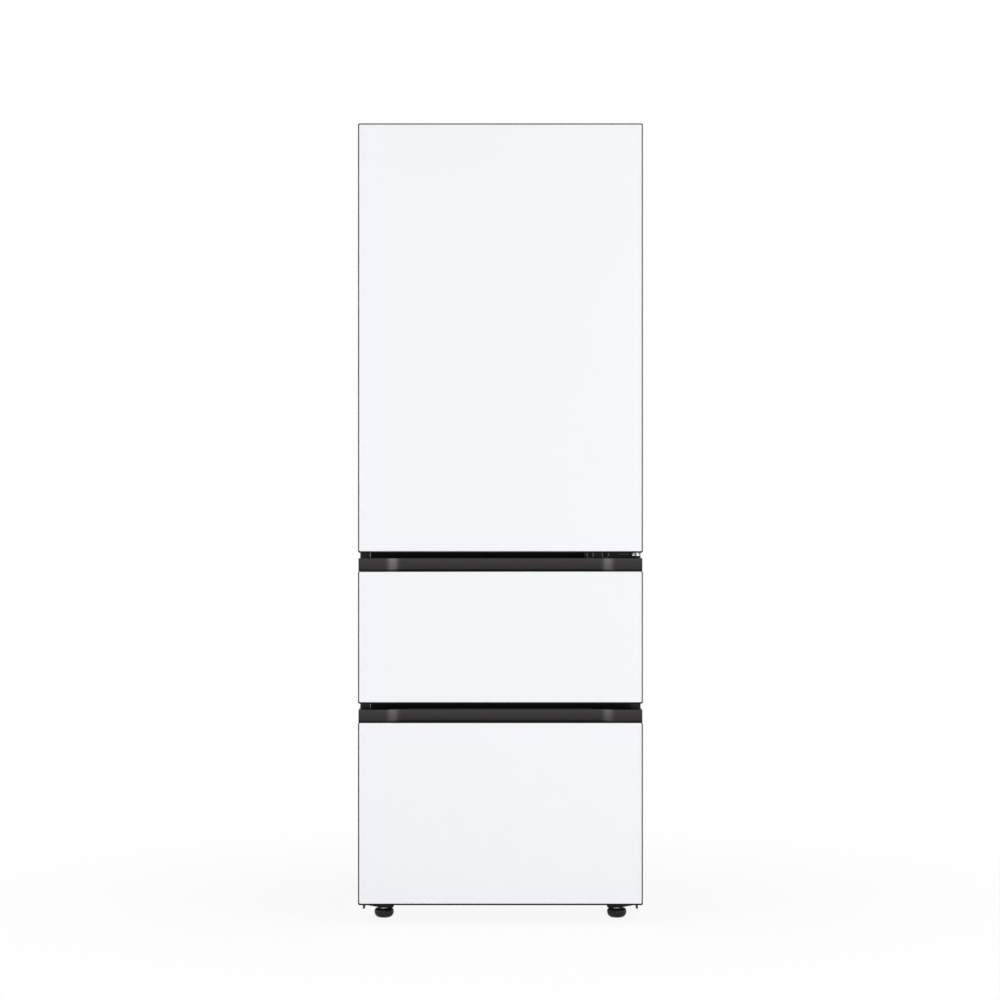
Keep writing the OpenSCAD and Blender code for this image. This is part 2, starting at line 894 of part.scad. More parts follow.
module hinge_brackets() {
    plate_w = 96;
    plate_d = 108;
    plate_y = mouth_y + 5;
    middle_w = 129;
    middle_t = 4;
    washer_h = step_drop - seat;
    screw_r = 5.5;
    screw_z = door_z0 - 6;
    color(steel_grey) {
        // Upper hinge: plate on the case, arm over the notch in the door, pin downwards
        translate([0, 0, case_z1])
            linear_extrude(arm_t) {
                translate([pin_x + arm_half - 2.5 - plate_w, plate_y])
                    square([plate_w, plate_d]);
                translate([pin_x - arm_half, pin_y])
                    square([2 * arm_half, plate_y - pin_y]);
                translate([pin_x, pin_y])
                    circle(arm_half);
            }
        translate([pin_x, pin_y, case_z1 - bush_h])
            cylinder(h = bush_h, r = pin_r);
        for (x = [pin_x - 68, pin_x - 6], y = [plate_y + 22, plate_y + 84])
            translate([x, y, case_z1 + arm_t])
                cylinder(h = 4, r = screw_r + 1);
        // Middle hinge: flange on the mullion, step towards the door, washer and pin upwards
        block([pin_x + 9 - middle_w, mouth_y - middle_t, door_z0 - 22],
              [pin_x + 9, mouth_y, door_z0 + 9]);
        translate([0, 0, step_z - arm_t])
            linear_extrude(arm_t) {
                translate([pin_x - 48, mouth_y - 9])
                    square([57, 9]);
                translate([pin_x - arm_half, pin_y])
                    square([2 * arm_half - 3, mouth_y - pin_y]);
                translate([pin_x, pin_y])
                    circle(arm_half);
            }
        translate([pin_x, pin_y, step_z])
            cylinder(h = washer_h, r = pin_r + 4);
        translate([pin_x, pin_y, step_z])
            cylinder(h = step_drop + bush_h - 2, r = pin_r);
        for (x = [pin_x - 106, pin_x - 70])
            translate([x, 0, screw_z])
                rod_y(mouth_y - middle_t - 3, mouth_y - middle_t, screw_r);
    }
}

// Moulded cover over the upper hinge, open towards the door
module hinge_cover() {
    wall = 2.5;
    x0 = pin_x + arm_half - 106;
    x1 = case_half - 0.5;
    y0 = mouth_y + 1;
    y1 = mouth_y + 128;
    z1 = overall_h - 5;
    color(edge_grey)
        difference() {
            translate([0, 0, case_z1])
                linear_extrude(z1 - case_z1)
                    round_rect([x0, y0], [x1, y1], 9);
            translate([0, 0, case_z1 - past])
                linear_extrude(z1 - case_z1 - wall + past)
                    round_rect([x0 + wall, y0 + wall], [x1 - wall, y1 - wall], 6.5);
            block([pin_x - arm_half - 1, y0 - past, case_z1 - past],
                  [pin_x + arm_half + 1, y0 + 6, case_z1 + arm_t + 2]);
        }
}

module duct_cover() {
    plate = 6;
    spine_half = 78;
    slot_h = 8;
    grille_count = 11;
    spine_z0 = upper_room[0] + 250;
    spine_z1 = upper_room[1] - 34;
    color(moulded_white)
        difference() {
            union() {
                upright(duct_y, duct_y + plate)
                    round_rect([-room_half + seat, upper_room[0] + seat],
                               [room_half - seat, upper_room[1] - seat], room_r);
                upright(duct_y - spine_d, duct_y)
                    round_rect([-spine_half, spine_z0], [spine_half, spine_z1], 18);
            }
            // Hollow back of the spine
            upright(duct_y - spine_d + 3, duct_y + plate + past)
                round_rect([-spine_half + 3, spine_z0 + 3], [spine_half - 3, spine_z1 - 3], 15);
            // Cold-air outlets above each shelf
            for (i = [1 : level_count - 1], k = [0 : 2])
                translate([0, 0, level_z(i) + 104 + k * 2 * slot_h])
                    upright(duct_y - spine_d - past, duct_y)
                        round_rect([-spine_half + 22, 0], [spine_half - 22, slot_h], slot_h / 2 - 0.5);
            // Return-air grille at the foot
            for (i = [0 : grille_count - 1])
                translate([(i - (grille_count - 1) / 2) * 2 * (room_half - 40) / grille_count, 0, 0])
                    upright(duct_y - past, duct_y + plate + past)
                        round_rect([-13, upper_room[0] + 14], [13, upper_room[0] + 50], 5);
        }
}

// Fin-and-tube evaporator behind the duct cover
module evaporator() {
    fins = 17;
    rows = 6;
    tube_r = 4;
    bend_r = tube_r + 0.5;
    reach = 14;
    half = room_half - 60;
    y0 = duct_y + 16;
    y1 = upper_room[2] - seat;
    z0 = upper_room[0] + 62;
    row_gap = 30;
    z1 = z0 + rows * row_gap;
    mid_y = (y0 + y1) / 2;
    color([0.80, 0.81, 0.82]) {
        for (i = [0 : fins - 1])
            let (end = i == 0 || i == fins - 1,
                 x = -half + i * 2 * half / (fins - 1),
                 deep = end ? y1 : y1 - 8)
                block([x - 0.8, y0, z0], [x + 0.8, deep, z1]);
        for (k = [0 : rows - 1])
            translate([0, mid_y, z0 + (k + 0.5) * row_gap])
                rod_x(-half - reach - past, half + reach + past, tube_r);
        // Return bends, swaged over the rows' ends, join them in turn at the right and left
        for (k = [0 : rows - 2])
            let (side = k % 2 == 0 ? 1 : -1)
                translate([side * (half + reach), mid_y, z0 + (k + 1) * row_gap])
                    rotate([0, 0, side > 0 ? 0 : 180])
                        return_bend(row_gap, bend_r);
    }
}

// Axial fan about X: hub, shaft and tilted blades
module fan_rotor(r, hub_r, blades, depth, shaft_to) {
    pitch = 32;
    intersection() {
        union()
            for (i = [0 : blades - 1])
                rotate([i * 360 / blades, 0, 0])
                    rotate([0, 0, pitch])
                        translate([-depth, -blade_t / 2, 0])
                            cube([2 * depth, blade_t, r + 10]);
        rod_x(-depth / 2, depth / 2, r);
    }
    rod_x(-depth / 2 - 1, depth / 2 + 1, hub_r);
    rod_x(-depth / 2, shaft_to, 3);
}

module evaporator_fan() {
    color([0.88, 0.89, 0.90])
        translate([0, duct_y + 30, evaporator_fan_z])
            rotate([0, 0, 90])
                fan_rotor(evaporator_fan_r, 17, 5, 18, 34);
}

module condenser_fan() {
    color(black_grey)
        translate([condenser_fan_x, compressor_y, condenser_fan_z])
            fan_rotor(condenser_fan_r, 19, 5, 22, 36);
}

// Motor with a bore for its rotor's shaft, about X from x = 0 to its length
module motor(length, depth) {
    difference() {
        union() {
            rod_x(0, length, motor_r);
            rod_x(length, length + 4, 12);
        }
        rod_x(-past, depth, 3 + run_fit);
    }
}

module fan_motors() {
    ring = 7;
    shroud_half = condenser_fan_r + 14;
    evap_len = upper_room[2] - (duct_y + 42) - 4 - seat;
    color([0.35, 0.36, 0.38]) {
        // Evaporator fan's motor stands on the room's back wall
        translate([0, duct_y + 42, evaporator_fan_z])
            rotate([0, 0, 90])
                motor(evap_len, evap_len - 2);
        // Condenser fan's motor is held by a shroud with four arms
        translate([condenser_fan_x, compressor_y, condenser_fan_z]) {
            difference() {
                union() {
                    translate([18, 0, 0])
                        motor(26, 24);
                    for (a = [45 : 90 : 315])
                        rotate([a, 0, 0])
                            block([24, -5, motor_r - 3], [28, 5, condenser_fan_r + 8]);
                    difference() {
                        block([-14, -shroud_half, case_z0 + plate_t - condenser_fan_z],
                              [28, shroud_half, shroud_half]);
                        rod_x(-14 - past, 28 + past, condenser_fan_r + 4);
                    }
                }
                rod_x(12, 42, 3 + run_fit);
            }
        }
    }
}

// Ceiling unit with a display window, touch keys and two lamp lenses
module control_panel() {
    half = 150;
    y0 = mouth_y + 36;
    y1 = y0 + 92;
    z1 = upper_room[1];
    z0 = z1 - 12;
    color([0.86, 0.88, 0.90])
        difference() {
            union() {
                translate([0, 0, z0])
                    linear_extrude(z1 - z0)
                        round_rect([-half, y0], [half, y1], 14);
                for (i = [0 : 4])
                    translate([-72 + i * 36, y0 + 26, z0 - 0.8])
                        cylinder(h = past, r = 8);
            }
            translate([0, 0, z0 - past])
                linear_extrude(past + 1.5)
                    round_rect([-82, y0 + 42], [82, y1 - 16], 4);
            both_sides()
                translate([0, 0, z0 - past])
                    linear_extrude(past + 3)
                        round_rect([96, y0 + 14], [138, y1 - 14], 8);
        }
}

module shelf_glass() {
    color([0.80, 0.88, 0.88])
        for (i = [1 : shelf_count])
            block([-room_half + 2, shelf_front_y + trim_d, level_z(i)],
                  [room_half - 2, shelf_back_y - 6, level_z(i) + shelf_t]);
}

// Front and back edge trims that the shelf glass sits in
module shelf_trims() {
    lip = 5;
    half = room_half - 2;
    color(moulded_white)
        for (i = [1 : shelf_count])
            translate([0, 0, level_z(i)]) {
                sideways(-half, half)
                    polygon([[shelf_front_y + trim_d, 0], [shelf_front_y + trim_d, shelf_t],
                             [shelf_front_y + trim_d + lip, shelf_t],
                             [shelf_front_y + trim_d + lip, shelf_t + 2],
                             [shelf_front_y + 3, shelf_t + 2],
                             [shelf_front_y, shelf_t - 1], [shelf_front_y, 0]]);
                sideways(-half, half)
                    polygon([[shelf_back_y - 6, 0], [shelf_back_y, 0], [shelf_back_y, shelf_t + 12],
                             [shelf_back_y - 4, shelf_t + 12], [shelf_back_y - 4, shelf_t + 2],
                             [shelf_back_y - 10, shelf_t + 2], [shelf_back_y - 10, shelf_t],
                             [shelf_back_y - 6, shelf_t]]);
            }
}

function upper_container_y() = shelf_front_y + container_setback;
function upper_container_z(i) = i == 0 ? upper_room[0] : level_z(i) + shelf_t;

module upper_containers() {
    color(container_colour)
        for (i = [0 : container_levels - 1])
            pair(upper_container_y(), upper_container_z(i))
                container(container_w, upper_container_d, container_h);
}

module upper_lids() {
    color(lid_colour)
        for (i = [0 : container_levels - 1])
            pair(upper_container_y(), upper_container_z(i) + container_h)
                lid(container_w, upper_container_d);
}

module fixed_slides() {
    color(steel_grey) {
        fixed_slide(middle_room, middle_slide_z);
        fixed_slide(lower_room, lower_slide_z);
    }
}

module racks() {
    color([0.90, 0.90, 0.88]) {
        rack_pair(middle_room, middle_slide_z);
        rack_pair(lower_room, lower_slide_z);
    }
}

// ---- machine room ----

// Welded shell of the compressor, seen in section from its axis
function shell_outline() =
    let (r = compressor_r, h = compressor_h, seam_z = 0.46 * h, foot = 14, steps = 8)
    concat(
        [[0, 0], [r - foot, 0]],
        [for (i = [1 : steps])
            [r - foot + foot * sin(90 * i / steps), foot - foot * cos(90 * i / steps)]],
        [[r, seam_z], [r + 3, seam_z], [r + 3, seam_z + 5], [r - 1, seam_z + 5]],
        [for (i = [0 : steps])
            [(r - 1) * cos(90 * i / steps), h - shell_dome + shell_dome * sin(90 * i / steps)]]
    );

module compressor() {
    leg = 74;
    z0 = case_z0 + plate_t;
    color(black_grey)
        translate([compressor_x, compressor_y, z0]) {
            // Rubber mounts under the four corners of the foot plate
            for (x = [-leg, leg], y = [-leg + 14, leg - 14])
                translate([x, y, 0])
                    cylinder(h = mount_h, r = 11);
            translate([0, 0, mount_h])
                linear_extrude(shell_plate_t)
                    round_rect([-leg - 13, -leg], [leg + 13, leg], 12);
            translate([0, 0, mount_h + shell_plate_t])
                rotate_extrude()
                    polygon(shell_outline());
            // Terminal box, process tube and line stubs
            block([-compressor_r - 20, -26, mount_h + 30], [-compressor_r + 12, 26, mount_h + 92]);
            for (y = [-44, 0, 44])
                translate([compressor_r - 24, y * 0.6, mount_h + 62])
                    rod_x(0, 34, 4);
        }
}

// Serpentine tubes of the condenser in two side frames
module condenser() {
    layers = 3;
    runs = 6;
    gap = 26;
    tube_r = 3;
    bend_r = tube_r + 0.4;
    frame_t = 3;
    margin = 20;
    bar = 14;
    y0 = machine_y + 34;
    y1 = case_back_y - 40;
    x0 = -case_half + 46;
    x1 = condenser_fan_x - 44;
    step = (x1 - x0 - 2 * margin) / (layers - 1);
    z0 = case_z0 + plate_t + 18;
    color(copper)
        for (i = [0 : layers - 1])
            translate([x0 + margin + i * step, 0, z0]) {
                for (k = [0 : runs - 1])
                    translate([0, 0, k * gap])
                        rod_y(y0 - past, y1 + past, tube_r);
                for (k = [0 : runs - 2])
                    translate([0, k % 2 == 0 ? y1 : y0, (k + 0.5) * gap])
                        rotate([0, 0, k % 2 == 0 ? 90 : -90])
                            return_bend(gap, bend_r);
            }
    color(black_grey)
        for (y = [y0 + 8, y1 - 8 - frame_t])
            difference() {
                block([x0, y, case_z0 + plate_t], [x1, y + frame_t, z0 + (runs - 1) * gap + bar]);
                for (i = [0 : layers - 2])
                    block([x0 + margin + bar + i * step, y - past, z0 - 4],
                          [x0 + margin - bar + (i + 1) * step, y + frame_t + past, z0 + (runs - 1) * gap]);
            }
}

// Way for the drain tube from the upper room's floor to the machine room's ceiling
module drain_way(r) {
    translate([compressor_x, compressor_y, machine_top_z - drain_drop])
        cylinder(h = upper_room[0] + drain_flange - machine_top_z + drain_drop, r = r);
}

// Tray on the compressor's dome that dries off the defrost water, and the tube that feeds it
module drain_tray() {
    w = 158;
    d = 112;
    wall = 2;
    rim = 4;
    collar_r = 30;
    collar_h = 2.8;
    color(black_grey)
        difference() {
            union() {
                drain_way(drain_r);
                translate([compressor_x, compressor_y, upper_room[0]])
                    cylinder(h = drain_flange, r = 2 * drain_r);
            }
            translate([0, 0, -past])
                drain_way(drain_r - drain_wall);
            translate([0, 0, past])
                drain_way(drain_r - drain_wall);
        }
    color(black_grey)
        translate([compressor_x, compressor_y, tray_z])
            difference() {
                union() {
                    linear_extrude(tray_h - rim)
                        round_rect([rim - w / 2, rim - d / 2], [w / 2 - rim, d / 2 - rim], 12);
                    translate([0, 0, tray_h - rim])
                        linear_extrude(rim)
                            round_rect([-w / 2, -d / 2], [w / 2, d / 2], 14);
                    // Collar round the top of the dome
                    translate([0, 0, -collar_h])
                        cylinder(h = collar_h + wall, r = collar_r);
                }
                translate([0, 0, -collar_h - past])
                    cylinder(h = collar_h + past, r = collar_r - 3);
                translate([0, 0, wall])
                    linear_extrude(tray_h)
                        round_rect([rim + wall - w / 2, rim + wall - d / 2],
                                   [w / 2 - rim - wall, d / 2 - rim - wall], 12 - wall);
            }
}

// Pressed cover of the machine room with louvres and two wall spacers
module rear_cover() {
    half = case_half - cover_inset;
    z0 = case_z0 + plate_t + 3;
    z1 = machine_top_z - 4;
    slots = 6;
    slot_h = 7;
    slot_gap = 25;
    skin = 1.5;
    color(steel_grey)
        difference() {
            union() {
                upright(case_back_y, case_back_y + skin)
                    round_rect([-half, z0], [half, z1 + 16], 8);
                // Hood over each louvre
                for (bank = [-1, 1], i = [0 : slots - 1])
                    translate([bank * half / 2, 0, z0 + i * slot_gap])
                        sideways(-0.36 * half, 0.36 * half)
                            polygon([[case_back_y + skin, 40], [case_back_y + 6, 34],
                                     [case_back_y + 6, 32], [case_back_y + skin, 37]]);
                for (x = [-half + 70, half - 70])
                    translate([x, 0, z1 + 1])
                        rod_y(case_back_y + skin, back_y, 11);
            }
            for (bank = [-1, 1], i = [0 : slots - 1])
                translate([bank * half / 2, 0, z0 + 28 + i * slot_gap])
                    block([-0.34 * half, case_back_y - past, 0],
                          [0.34 * half, case_back_y + skin + past, slot_h]);
            translate([half - gland_inset, 0, z0 + gland_up])
                rod_y(case_back_y - past, case_back_y + 3, gland_r);
        }
}

// Flanged gland in the rear cover where the mains lead enters
module cord_gland() {
    z0 = case_z0 + plate_t + 3;
    color(black_grey)
        translate([case_half - cover_inset - gland_inset, 0, z0 + gland_up])
            difference() {
                union() {
                    rod_y(case_back_y - 8, case_back_y + 1.5, gland_r);
                    rod_y(case_back_y + 1.5, case_back_y + 4, 12);
                    rod_y(case_back_y + 4, case_back_y + 8, 8);
                }
                rod_y(case_back_y - 8 - past, case_back_y + 8 + past, 4);
            }
}

// ---- feet and rollers ----

// Pressed brackets: sloping front ones with the stud's bush, rear forks for the rollers
module base_brackets() {
    front = front_back_y + 1;
    back = foot_y + 60;
    wall = 3;
    bush = 9;
    fork_t = 3;
    low = case_z0 - bracket_drop;
    outer_low = low + bracket_rise;
    color(black_grey)
        both_sides() {
            difference() {
                union() {
                    upright(front, back)
                        polygon([[foot_x - 30, case_z0], [foot_x - 23, low], [foot_x + 6, low],
                                 [foot_x + 41, outer_low], [foot_x + 41, case_z0]]);
                    // Hooked tab beside each bracket
                    block([foot_x + 45, mouth_y - 4, low - 3.5], [foot_x + 49, mouth_y + 40, case_z0]);
                    block([foot_x + 41, mouth_y + 10, case_z0 - wall], [foot_x + 45, mouth_y + 40, case_z0]);
                }
                upright(front + wall, back - wall)
                    polygon([[foot_x - 27, case_z0 - 2.5], [foot_x - 20, low - past],
                             [foot_x + 6, low - past], [foot_x + 38, outer_low - past],
                             [foot_x + 38, case_z0 - 2.5]]);
                translate([foot_x, foot_y, case_z0 - 30])
                    cylinder(h = 40, r = stud_r + run_fit);
            }
            difference() {
                translate([foot_x, foot_y, case_z0 - 14])
                    cylinder(h = 12.5, r = bush);
                translate([foot_x, foot_y, case_z0 - 30])
                    cylinder(h = 40, r = stud_r + run_fit);
            }
            // Roller fork hung from the machine room's floor
            block([roller_x - roller_w / 2 - 5, roller_y - 24, case_z0 - 3],
                  [roller_x + roller_w / 2 + 5, roller_y + 24, case_z0]);
            for (x = [roller_x - roller_w / 2 - 5, roller_x + roller_w / 2 + 5 - fork_t])
                difference() {
                    sideways(x, x + fork_t)
                        polygon([[roller_y - 24, case_z0 - 3], [roller_y - 10, roller_r - 10],
                                 [roller_y + 10, roller_r - 10], [roller_y + 24, case_z0 - 3]]);
                    translate([0, roller_y, roller_r])
                        rod_x(x - past, x + fork_t + past, axle_r + run_fit);
                }
        }
}

// Levelling foot: a ribbed knob, a hex nut and a stud
module front_foot(side) {
    ribs = 20;
    color([0.20, 0.20, 0.21])
        translate([side * foot_x, foot_y, 0]) {
            difference() {
                rotate_extrude()
                    polygon([[0, 0], [foot_r - 6, 0], [foot_r - 1.5, 4], [foot_r, 7.5],
                             [foot_r, foot_h - 5.5], [foot_r - 3, foot_h - 1.5],
                             [foot_r - 8, foot_h], [0, foot_h]]);
                for (i = [0 : ribs - 1])
                    rotate([0, 0, i * 360 / ribs])
                        translate([foot_r + 1.2, 0, 4])
                            cylinder(h = foot_h, r = 2.2);
            }
            translate([0, 0, foot_h])
                cylinder(h = 3, r = 9, $fn = 6);
            translate([0, 0, foot_h])
                cylinder(h = case_z0 - foot_h - 1, r = stud_r);
        }
}

module front_foot_left() {
    front_foot(-1);
}

module front_foot_right() {
    front_foot(1);
}

module rear_rollers() {
    gap = 0.6;
    color([0.16, 0.16, 0.17])
        both_sides()
            translate([0, roller_y, roller_r]) {
                translate([roller_x, 0, 0])
                    rotate([0, 90, 0])
                        rotate_extrude()
                            polygon([[0, -roller_w / 2], [roller_r - 3, -roller_w / 2],
                                     [roller_r, -roller_w / 2 + 3], [roller_r, roller_w / 2 - 3],
                                     [roller_r - 3, roller_w / 2], [0, roller_w / 2]]);
                rod_x(roller_x - roller_w / 2 - 5, roller_x + roller_w / 2 + 5, axle_r);
            }
}

// ---- drawer nodes ----

module middle_glass() {
    glass_panel(middle_z0, middle_z1, seam_w);
}

module middle_frame() {
    drawer_frame(middle_z0, middle_z1);
}

module middle_grip() {
    grip_strip(middle_z1);
}

module middle_front_liner() {
    front_liner(middle_z0, middle_top_z);
}

module middle_seal() {
    seal_ring(middle_room);
}

module middle_runners() {
    runners(middle_room, middle_slide_z);
}

module middle_bin() {
    drawer_bin(middle_room, middle_bin_h);
}

module middle_containers() {
    drawer_containers(middle_room, container_h);
}

module middle_lids() {
    drawer_lids(middle_room, container_h);
}

module middle_slides() {
    telescopic_slide(middle_room, middle_slide_z);
}

module middle_pinions() {
    pinion_shaft(middle_room, middle_slide_z);
}

module lower_glass() {
    glass_panel(lower_z0, lower_z1, seam_w);
}

module lower_frame() {
    drawer_frame(lower_z0, lower_z1);
}

module lower_grip() {
    grip_strip(lower_z1);
}

module lower_front_liner() {
    front_liner(lower_z0, lower_top_z);
}

module lower_seal() {
    seal_ring(lower_room);
}

module lower_runners() {
    runners(lower_room, lower_slide_z);
}

module lower_bin() {
    drawer_bin(lower_room, lower_bin_h);
}

module lower_containers() {
    drawer_containers(lower_room, deep_container_h);
}

module lower_lids() {
    drawer_lids(lower_room, deep_container_h);
}

module lower_slides() {
    telescopic_slide(lower_room, lower_slide_z);
}

module lower_pinions() {
    pinion_shaft(lower_room, lower_slide_z);
}

outer_case();
cabinet_back();
base_pan();
foam_insulation();
upper_liner();
middle_liner();
lower_liner();
front_mullions();
hinge_brackets();
hinge_cover();
duct_cover();
evaporator();
fan_motors();
control_panel();
shelf_glass();
shelf_trims();
upper_containers();
upper_lids();
fixed_slides();
racks();
compressor();
condenser();
drain_tray();
rear_cover();
cord_gland();
base_brackets();
door_glass();
door_frame();
door_liner();
door_seal();
door_grip_cap();
door_baskets();
door_bushes();
middle_glass();
middle_frame();
middle_grip();
middle_front_liner();
middle_seal();
middle_runners();
middle_bin();
middle_containers();
middle_lids();
lower_glass();
lower_frame();
lower_grip();
lower_front_liner();
lower_seal();
lower_runners();
lower_bin();
lower_containers();
lower_lids();
middle_slides();
lower_slides();
middle_pinions();
lower_pinions();
evaporator_fan();
condenser_fan();
front_foot_left();
front_foot_right();
rear_rollers();
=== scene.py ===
import json
import math
import random

import bmesh
import bpy
from mathutils import Matrix, Vector

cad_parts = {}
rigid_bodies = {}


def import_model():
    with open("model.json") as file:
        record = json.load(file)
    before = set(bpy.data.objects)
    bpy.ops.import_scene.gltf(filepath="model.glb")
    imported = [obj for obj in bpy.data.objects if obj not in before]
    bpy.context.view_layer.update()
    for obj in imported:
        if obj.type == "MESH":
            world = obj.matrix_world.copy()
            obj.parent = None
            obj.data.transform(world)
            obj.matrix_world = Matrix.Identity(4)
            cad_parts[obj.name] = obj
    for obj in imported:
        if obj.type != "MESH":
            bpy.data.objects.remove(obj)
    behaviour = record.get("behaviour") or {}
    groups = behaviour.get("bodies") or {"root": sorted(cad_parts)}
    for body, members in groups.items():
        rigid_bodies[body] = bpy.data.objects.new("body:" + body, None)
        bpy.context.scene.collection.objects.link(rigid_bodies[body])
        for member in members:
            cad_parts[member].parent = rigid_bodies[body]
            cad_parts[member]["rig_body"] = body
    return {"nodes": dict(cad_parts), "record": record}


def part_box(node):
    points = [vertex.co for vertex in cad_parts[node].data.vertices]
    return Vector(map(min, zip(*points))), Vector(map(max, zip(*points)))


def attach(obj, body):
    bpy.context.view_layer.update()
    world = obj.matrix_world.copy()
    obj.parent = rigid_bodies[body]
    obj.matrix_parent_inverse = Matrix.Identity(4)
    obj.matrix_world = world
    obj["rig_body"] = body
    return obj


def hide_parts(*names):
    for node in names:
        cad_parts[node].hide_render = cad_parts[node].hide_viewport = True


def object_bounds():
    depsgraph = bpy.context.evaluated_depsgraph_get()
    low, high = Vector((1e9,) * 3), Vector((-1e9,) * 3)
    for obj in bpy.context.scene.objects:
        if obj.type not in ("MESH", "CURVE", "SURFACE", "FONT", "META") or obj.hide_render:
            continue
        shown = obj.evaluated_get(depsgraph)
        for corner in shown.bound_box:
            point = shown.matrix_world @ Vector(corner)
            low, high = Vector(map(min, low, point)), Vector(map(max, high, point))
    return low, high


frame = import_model()
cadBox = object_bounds()
random.seed(8109)
print("frame loaded:", len(frame["nodes"]), "nodes")

slotOf = {part["node"]: part["material_slot"] for part in frame["record"]["subparts"]}


def bodyOf(node):
    return frame["nodes"][node]["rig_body"]


# the photo is a straight front view from some distance; metres, the lens and sensor in millimetres
cameraView = {"lens": 92.39, "sensor": 36.0, "x": -0.001, "distance": 6.0, "height": 0.9894, "clipEnd": 60.0}


def makeCamera():
    data = bpy.data.cameras.new("camera")
    data.lens = cameraView["lens"]
    data.sensor_width = cameraView["sensor"]
    data.clip_end = cameraView["clipEnd"]
    camera = bpy.data.objects.new("camera", data)
    bpy.context.scene.collection.objects.link(camera)
    camera.location = (cameraView["x"], cadBox[0][1] - cameraView["distance"], cameraView["height"])
    camera.rotation_euler = (math.radians(90), 0, 0)
    bpy.context.scene.camera = camera


makeCamera()
print("camera placed")


class Wire:
    # an output socket; a sum, product or comparison with it adds its Math node
    def __init__(self, nodes, socket):
        self.nodes = nodes
        self.socket = socket

    def __add__(self, other):
        return self.nodes.maths("ADD", self, other)

    def __radd__(self, other):
        return self.nodes.maths("ADD", other, self)

    def __sub__(self, other):
        return self.nodes.maths("SUBTRACT", self, other)

    def __rsub__(self, other):
        return self.nodes.maths("SUBTRACT", other, self)

    def __mul__(self, other):
        return self.nodes.maths("MULTIPLY", self, other)

    def __rmul__(self, other):
        return self.nodes.maths("MULTIPLY", other, self)

    def __lt__(self, other):
        return self.nodes.maths("LESS_THAN", self, other)

    def __gt__(self, other):
        return self.nodes.maths("GREATER_THAN", self, other)


class Nodes:
    # the nodes of one material or world
    def __init__(self, tree):
        self.tree = tree

    # settings go in first, then the sockets' values or wires; out is the output that comes back
    def add(self, kind, settings=None, sockets=None, out=0):
        node = self.tree.nodes.new(kind)
        for key, value in (settings or {}).items():
            setattr(node, key, value)
        for key, value in (sockets or {}).items():
            self.feed(node.inputs[key], value)
        return Wire(self, node.outputs[out]) if len(node.outputs) else node

    def feed(self, socket, value):
        if isinstance(value, Wire):
            self.tree.links.new(value.socket, socket)
        elif isinstance(value, (tuple, list)) and socket.type == "RGBA" and len(value) == 3:
            socket.default_value = (*value, 1)
        else:
            socket.default_value = value

    def maths(self, operation, *values):
        return self.add("ShaderNodeMath", {"operation": operation}, dict(enumerate(values)))

    # the colour mix has its factor at socket 0, its colours at 6 and 7 and its result at output 2
    def mix(self, factor, first, second):
        return self.add("ShaderNodeMix", {"data_type": "RGBA"}, {0: factor, 6: first, 7: second}, out=2)

    def place(self, scale=(1, 1, 1), shift=(0, 0, 0)):
        here = self.add("ShaderNodeTexCoord", out="Object")
        return self.add("ShaderNodeMapping", {}, {"Vector": here, "Location": shift, "Scale": scale})

    def axis(self, letter, kind="Object"):
        here = self.add("ShaderNodeTexCoord", out=kind)
        return self.add("ShaderNodeSeparateXYZ", {}, {0: here}, out=letter)

    def noise(self, vector, scale, detail=3.0, rough=0.5):
        return self.add("ShaderNodeTexNoise", {},
                        {"Vector": vector, "Scale": scale, "Detail": detail, "Roughness": rough})

    def ranged(self, value, low, high, newLow=0.0, newHigh=1.0):
        return self.add("ShaderNodeMapRange", {"clamp": True},
                        {0: value, 1: low, 2: high, 3: newLow, 4: newHigh})

    def bump(self, height, distance, strength=1.0):
        return self.add("ShaderNodeBump", {}, {"Height": height, "Distance": distance, "Strength": strength})

    # 1 for a ray from the camera, off a glossy surface or through a clear one: these see the white background
    def seenWhite(self):
        rays = [self.add("ShaderNodeLightPath", out=kind)
                for kind in ("Is Camera Ray", "Is Glossy Ray", "Is Transmission Ray")]
        return self.maths("MAXIMUM", rays[0], self.maths("MAXIMUM", rays[1], rays[2]))


class Finish(Nodes):
    # one material and its principled shader
    names = {"colour": "Base Color", "rough": "Roughness", "metal": "Metallic", "normal": "Normal",
             "ior": "IOR", "alpha": "Alpha", "glow": "Emission Color", "glowPower": "Emission Strength",
             "specular": "Specular IOR Level"}

    def __init__(self, name):
        self.material = bpy.data.materials.new(name)
        self.material.use_nodes = True
        super().__init__(self.material.node_tree)
        self.shader = self.tree.nodes["Principled BSDF"]
        self.output = self.tree.nodes["Material Output"]

    def set(self, **sockets):
        for key, value in sockets.items():
            self.feed(self.shader.inputs[self.names[key]], value)
        return self.material


def shade(colour, factor):
    return tuple(min(1.0, channel * factor) for channel in colour)


# in each finish rough is the middle of its roughness, and grain, peel and depth give its fine relief
def mouldedPlastic(name, colour, rough=0.42, grain=1500, depth=0.00003, mottle=0.03, dust=0.0, specular=0.5):
    f = Finish(name)
    here = f.place()
    cloud = f.noise(here, 6, 4, 0.55)
    speck = f.noise(here, grain, 2, 0.6)
    base = f.mix(cloud, shade(colour, 1 - mottle), shade(colour, 1 + mottle))
    if dust:
        film = f.ranged(f.noise(here, 22, 5, 0.6), 0.5, 0.75, 0.0, dust)
        base = f.mix(film, base, (0.5, 0.49, 0.47))
    return f.set(colour=base, rough=f.ranged(cloud + 0.35 * speck, 0.4, 0.95, rough - 0.06, rough + 0.08),
                 specular=specular, normal=f.bump(speck, depth))


